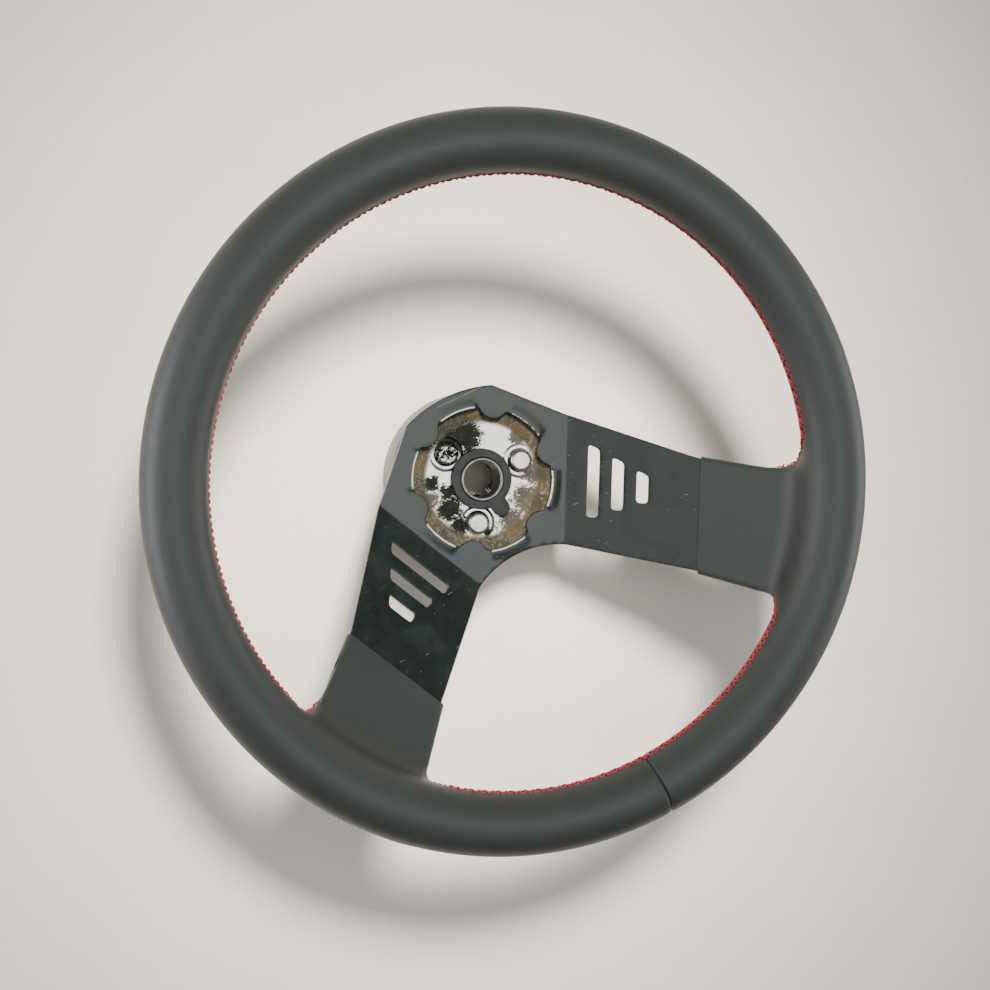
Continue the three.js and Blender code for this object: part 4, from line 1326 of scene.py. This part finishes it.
DISH_FLOOR = 37.0
SHEET = 1.3                     # thickness of the dish's pressed metal
FLANGE_TOP = PLATE_TOP - PLATE - GAP
WALL_TOP = OPENING + 0.4        # radius at the top of the dish's wall
BORE = 9.55                     # radius of the shaft's bore
NOSE = 11.1
KEY_ANGLE = 10.5                # the washer's key, from six o'clock
RIVET_CIRCLE = 22.7
RIVET_ANGLE = 90.0
RIVET_SEAT = 6.5                # flat room that a rivet needs round it
BOSS_TOP = DISH_FLOOR - SHEET - GAP
BOSS_UNDER = BOSS_TOP - 4.4
BOSS_BORE = 36.0
SKIRT = 40.4                    # radius of the boss inside the collar
FLANGE = 43.0
BALL_CIRCLE = 11.35
BALL_HEIGHT = 21.8
PIN_HEIGHT = 11.5
PIN_ANGLE = 30.0
PIN_TRAVEL = 6.0                # how far the collar and its pins rise
COLLAR_BORE = 41.1
COLLAR = 44.5


def rivet_holes():
    """Cutters for the holes that the rivets' shanks pass through."""
    places = [polar(RIVET_CIRCLE, RIVET_ANGLE + 120 * i) for i in range(3)]
    return [bar(4.3, (*place, BOSS_UNDER - 2), (*place, DISH_FLOOR + 2), 32)
            for place in places]


def pin_holes(radius=2.2, start=26.7, end=46.5):
    """Cutters for the holes that the drive pins sit in."""
    return [bar(radius, *[(*polar(reach, PIN_ANGLE + 120 * i), PIN_HEIGHT)
                          for reach in (start, end)], 32) for i in range(3)]


class WHEEL_OT_dish(bpy.types.Operator):
    """Press the plated hub dish"""

    bl_idname = "wheel.hub_dish"
    bl_label = "Hub dish"

    def execute(self, context):
        floor = RIVET_CIRCLE + RIVET_SEAT
        profile = rounded([
            (NOSE + GAP, DISH_FLOOR - SHEET), (floor, DISH_FLOOR - SHEET),
            (WALL_TOP - 1.6, FLANGE_TOP - SHEET - 0.7), (WALL_TOP + 0.4, FLANGE_TOP - SHEET),
            (FLANGE, FLANGE_TOP - SHEET), (FLANGE, FLANGE_TOP), (WALL_TOP, FLANGE_TOP),
            (WALL_TOP - 1.8, FLANGE_TOP - 0.7), (floor, DISH_FLOOR), (NOSE + GAP, DISH_FLOOR)],
            [0.2, 1.4, 0.6, 0.6, 0.3, 0.3, 0.5, 0.5, 1.4, 0.3], 5)
        piece("hub_dish_shell", cut(lathe(profile, 160), rivet_holes()),
              flaked_chrome_finish(), "wheel", ["hub_dish"])
        return {"FINISHED"}


class WHEEL_OT_rivets(bpy.types.Operator):
    """Set the rivets that hold the dish to the boss"""

    bl_idname = "wheel.rivets"
    bl_label = "Rivets"

    def execute(self, context):
        sizes = context.scene.wheel_sizes
        seat = DISH_FLOOR + GAP
        profile = rounded([
            (0, BOSS_UNDER), (4, BOSS_UNDER), (4, seat), (6.5, seat), (6.45, seat + 0.5),
            (5.2, seat + 3.2), (4.4, seat + 3.62), (0, seat + 3.7)],
            [0, 0.4, 0.1, 0.15, 0.3, 0.5, 0.7, 0], 4)
        finish = worn_nickel_finish()
        mesh = grown("rivets", lathe(profile, 48), round_tree(), {
            "Count": sizes.rivet_count, "Circle radius": sizes.rivet_circle,
            "First angle": clock(RIVET_ANGLE), "Finish": finish})
        piece("rivets", mesh, finish, "wheel",
              ["rivet_1", "rivet_2", "rivet_3"], sharp=60)
        return {"FINISHED"}


class WHEEL_OT_socket(bpy.types.Operator):
    """Turn the shaft socket and cut its keyed washer"""

    bl_idname = "wheel.shaft_socket"
    bl_label = "Shaft socket and washer"

    def execute(self, context):
        top, bottom, shoulder = 40.3, 16.3, 30.7
        blank = lathe(rounded([
            (BORE, bottom), (14.1, bottom), (14.1, shoulder), (NOSE, shoulder),
            (NOSE, top), (BORE, top)],
            [0.5, 0.6, 0.5, 0.2, 0.35, 0.6], 4), 128)
        key = clock(KEY_ANGLE)
        out = Vector((math.cos(key), math.sin(key), 0))
        wide = Vector((-out.y, out.x, 0))
        key_half, key_depth = 2.5, 11.95
        corners = [out * r + wide * w for r, w in (
            (0, -key_half), (key_depth, -key_half), (key_depth, key_half), (0, key_half))]
        keyway = prism(*[[(*c.xy, z) for c in corners] for z in (bottom - 1, shoulder - 1)])
        holes = [bar(3.2, (*polar(5, KEY_ANGLE + 30 + 60 * i), BALL_HEIGHT),
                     (*polar(16, KEY_ANGLE + 30 + 60 * i), BALL_HEIGHT), 32) for i in range(6)]
        piece("shaft_socket_body", cut(blank, [keyway, *holes]), metal_finish(
            "machined socket steel", (0.52, 0.52, 0.50), (0.27, 0.265, 0.255), 0.42, 0.5, 0.06,
            turned=0.5, spots=0.7), "wheel", ["shaft_socket"])

        # a round washer with a round-ended key that points out at KEY_ANGLE
        washer, half, reach = 15.7, 4.3, 22.4
        start = math.asin(half / washer)
        loop = arc(washer, np.linspace(start, 2 * math.pi - start, 90))
        loop += [(reach - half + x, y)
                 for x, y in arc(half, np.linspace(-math.pi / 2, math.pi / 2, 24))]
        radii = [1.3] + [0] * 88 + [1.3] + [0] * 24
        loop = rounded(loop, radii, 3)
        turn = np.array([[math.cos(key), -math.sin(key)], [math.sin(key), math.cos(key)]])
        loop = dense([tuple(turn @ np.array(p)) for p in loop], 1.2)
        thick = 2.3
        points, faces = sheet_mesh(loop, [np.array(arc(NOSE + GAP, full_turn(96)))],
                                   flat_at(DISH_FLOOR + GAP + thick), thick, 0.35)
        piece("key_washer_plate", faced(points, faces), metal_finish(
            "dull washer steel", (0.066, 0.070, 0.068), (0.042, 0.046, 0.044), 0.52, 0.8, 0.03,
            metallic=0.75, spots=0.3), "wheel", ["key_washer"])
        return {"FINISHED"}


class WHEEL_OT_boss(bpy.types.Operator):
    """Turn the boss and fit its sealing ring, spring seat and snap ring"""

    bl_idname = "wheel.boss"
    bl_label = "Boss and its rings"

    def execute(self, context):
        rim_top = FLANGE_TOP - SHEET - GAP
        snap_top, snap_bottom, cord = 8.0, 6.7, 4.5
        groove = SKIRT - 1.7
        profile = rounded([
            (NOSE + GAP, BOSS_UNDER), (BOSS_BORE, BOSS_UNDER), (BOSS_BORE, snap_top + GAP),
            (BOSS_BORE + 1.6, snap_top + GAP), (BOSS_BORE + 1.6, snap_bottom - GAP),
            (BOSS_BORE, snap_bottom - GAP), (BOSS_BORE, 0), (SKIRT, 0), (SKIRT, cord - 1.25),
            (groove, cord - 1.25), (groove, cord + 1.25), (SKIRT, cord + 1.25),
            (SKIRT, rim_top - 6.4), (FLANGE, rim_top - 6.4), (FLANGE, rim_top),
            (WALL_TOP + 0.5, rim_top), (WALL_TOP - 1.4, rim_top - 0.7),
            (RIVET_CIRCLE + RIVET_SEAT, BOSS_TOP), (NOSE + GAP, BOSS_TOP)],
            [0.3, 1.5, 0.1, 0.1, 0.1, 0.1, 0.6, 0.6, 0.2, 0.1, 0.1, 0.2, 0.5, 0.4, 0.5, 0.3,
             0.3, 0.8, 0.3], 4)
        cutters, slot = rivet_holes(), 2.3
        for i in range(3):
            a = clock(PIN_ANGLE + 120 * i)
            out = Vector((math.cos(a), math.sin(a), 0))
            side = Vector((-math.sin(a), math.cos(a), 0))
            ring = [side * (slot * math.cos(t)) + Vector((0, 0, (
                PIN_HEIGHT if math.sin(t) < 0 else PIN_HEIGHT + PIN_TRAVEL) + slot * math.sin(t)))
                for t in 0.01 + full_turn(32)]
            cutters.append(prism(*[[out * r + p for p in ring] for r in (34, 42.4)]))
        piece("hub_boss_body", cut(lathe(profile, 144), cutters), metal_finish(
            "turned boss alloy", (0.42, 0.42, 0.41), (0.27, 0.265, 0.255), 0.36, 0.9, 0.03,
            turned=0.7, spots=0.5), "wheel", ["hub_boss"])
        piece("grip_ring_seal", tube(39.95, 0.95, cord, 144, 16), soft_finish(
            "seal rubber", (0.03, 0.03, 0.03), (0.014, 0.014, 0.014), 0.75, 0.3, 0.02),
            "wheel", ["grip_ring"], sharp=180)
        black = metal_finish("blackened steel", (0.06, 0.06, 0.062), (0.03, 0.03, 0.03), 0.42,
                             0.8, 0.02, spots=0.4)
        piece("spring_seat_washer", lathe(rounded([
            (20.55, 29.9), (27.35, 29.9), (27.35, 30.7), (20.55, 30.7)], 0.22, 3), 96),
            black, "wheel", ["spring_seat"])
        inner, outer, opening = 34.2, 37.3, 12.0
        turn = np.radians(np.linspace(90 + opening, 450 - opening, 120))
        loop = arc(outer, turn) + arc(inner, turn[::-1])
        ends = (0, 119, 120, 239)
        loop = rounded(loop, [1.0 if i in ends else 0 for i in range(240)], 4)
        points, faces = sheet_mesh(dense(loop, 1.6), [], flat_at(snap_top),
                                   snap_top - snap_bottom, 0.2)
        piece("snap_ring_band", faced(points, faces), black, "wheel",
              ["snap_ring"])
        return {"FINISHED"}


class WHEEL_OT_release(bpy.types.Operator):
    """Turn the release collar, the lock ring and the pins that join them"""

    bl_idname = "wheel.release_collar"
    bl_label = "Release collar, lock ring and pins"

    def execute(self, context):
        low, high = 1.0, 24.5
        profile = rounded([
            (COLLAR_BORE, low), (COLLAR - 0.9, low), (COLLAR, low + 0.9), (COLLAR, high - 0.9),
            (COLLAR - 0.9, high), (COLLAR_BORE, high)], 0.3, 3)
        piece("release_collar_sleeve", cut(lathe(profile, 160), pin_holes()), metal_finish(
            "brown anodised collar", (0.155, 0.135, 0.12), (0.085, 0.072, 0.062), 0.38, 1.0,
            0.02, turned=0.6, spots=0.25), "collar", ["release_collar"])
        ring = rounded([
            (16.35, 8.3), (35.6, 8.3), (35.6, 14.7), (19.75, 14.7), (19.75, 24.3),
            (14.85, 24.3), (14.85, 21.8), (16.35, 15.8)],
            [0.5, 0.4, 0.4, 0.8, 0.4, 0.3, 0.1, 0.1], 4)
        piece("lock_ring_body", cut(lathe(ring, 128), pin_holes()), metal_finish(
            "ground lock ring steel", (0.42, 0.42, 0.42), (0.25, 0.25, 0.25), 0.30, 0.7, 0.02,
            turned=0.8, spots=0.4), "collar", ["lock_ring"])
        pin_start, pin_end = 27.0, 44.2
        pin = bar(1.9, (0, 0, 0), (pin_end - pin_start, 0, 0), 32, 0.4)
        finish = metal_finish("pin steel", (0.55, 0.55, 0.55), (0.38, 0.38, 0.38), 0.28, 0.5,
                              0.015, spots=0.2)
        mesh = grown("drive_pins", pin, round_tree(), {
            "Count": 3, "Circle radius": pin_start * MM, "First angle": clock(PIN_ANGLE),
            "Height": PIN_HEIGHT * MM, "Finish": finish})
        piece("drive_pins", mesh, finish, "collar",
              ["drive_pin_1", "drive_pin_2", "drive_pin_3"])
        return {"FINISHED"}


class WHEEL_OT_balls(bpy.types.Operator):
    """Set the six locking balls, one on each of its bodies"""

    bl_idname = "wheel.lock_balls"
    bl_label = "Locking balls"

    def execute(self, context):
        finish = metal_finish("polished ball steel", (0.70, 0.70, 0.71), (0.56, 0.56, 0.57),
                              0.12, 0.4, 0.004, spots=0.1)
        tree = round_tree()
        radius = 3.0
        profile = arc(radius, np.linspace(-math.pi / 2, math.pi / 2, 17))
        for i in range(6):
            mesh = grown("ball", lathe(profile, 32), tree, {
                "Count": 1, "Circle radius": BALL_CIRCLE * MM,
                "First angle": clock(KEY_ANGLE + 30 + 60 * i), "Height": BALL_HEIGHT * MM,
                "Finish": finish})
            piece(f"lock_ball_{i + 1}_steel", mesh, finish, f"ball_{i + 1}",
                  [f"lock_ball_{i + 1}"], sharp=180)
        return {"FINISHED"}


class WHEEL_OT_spring(bpy.types.Operator):
    """Wind the collar spring at its resting length"""

    bl_idname = "wheel.collar_spring"
    bl_label = "Collar spring"

    def execute(self, context):
        finish = metal_finish("spring steel", (0.30, 0.31, 0.33), (0.17, 0.17, 0.18), 0.36, 0.6,
                              0.015, spots=0.4)
        seed = bpy.data.meshes.new("seed")
        low, high, wire = 15.0, 29.6, 0.9
        mesh = grown("spring", seed, coil_tree(), {
            "Turns": context.scene.wheel_sizes.spring_turns, "Coil radius": 23.95 * MM,
            "Wire radius": wire * MM, "Base height": (low + wire) * MM,
            "Length": (high - low - 2 * wire) * MM, "Finish": finish})
        spring = piece("collar_spring_coil", mesh, finish, "wheel",
                       ["collar_spring"], sharp=60)
        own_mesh(spring)
        return {"FINISHED"}


class WHEEL_PT_panel(bpy.types.Panel):
    """Lists the steps that build the wheel"""

    bl_label = "Quick release wheel"
    bl_idname = "WHEEL_PT_panel"
    bl_space_type = "VIEW_3D"
    bl_region_type = "UI"
    bl_category = "Wheel"

    def draw(self, context):
        column = self.layout.column()
        for settings in (context.scene.wheel_sizes, context.scene.wheel_colours):
            for name in settings.__annotations__:
                column.prop(settings, name)
        for step in STEPS:
            column.operator(step.bl_idname)


STEPS = (
    WHEEL_OT_stage, WHEEL_OT_leather, WHEEL_OT_stitches, WHEEL_OT_grip, WHEEL_OT_plate,
    WHEEL_OT_dish, WHEEL_OT_rivets, WHEEL_OT_socket, WHEEL_OT_boss, WHEEL_OT_release,
    WHEEL_OT_balls, WHEEL_OT_spring,
)
CLASSES = (WHEEL_PG_sizes, WHEEL_PG_colours, *STEPS, WHEEL_PT_panel)


def register():
    for cls in CLASSES:
        bpy.utils.register_class(cls)
    bpy.types.Scene.wheel_sizes = PointerProperty(type=WHEEL_PG_sizes)
    bpy.types.Scene.wheel_colours = PointerProperty(type=WHEEL_PG_colours)


def unregister():
    del bpy.types.Scene.wheel_colours
    del bpy.types.Scene.wheel_sizes
    for cls in reversed(CLASSES):
        bpy.utils.unregister_class(cls)


def main():
    register()
    for step in STEPS:
        group, name = step.bl_idname.split(".")
        if getattr(getattr(bpy.ops, group), name)() != {"FINISHED"}:
            raise RuntimeError(f"{step.bl_label} did not finish")


if __name__ == "__main__":
    main()
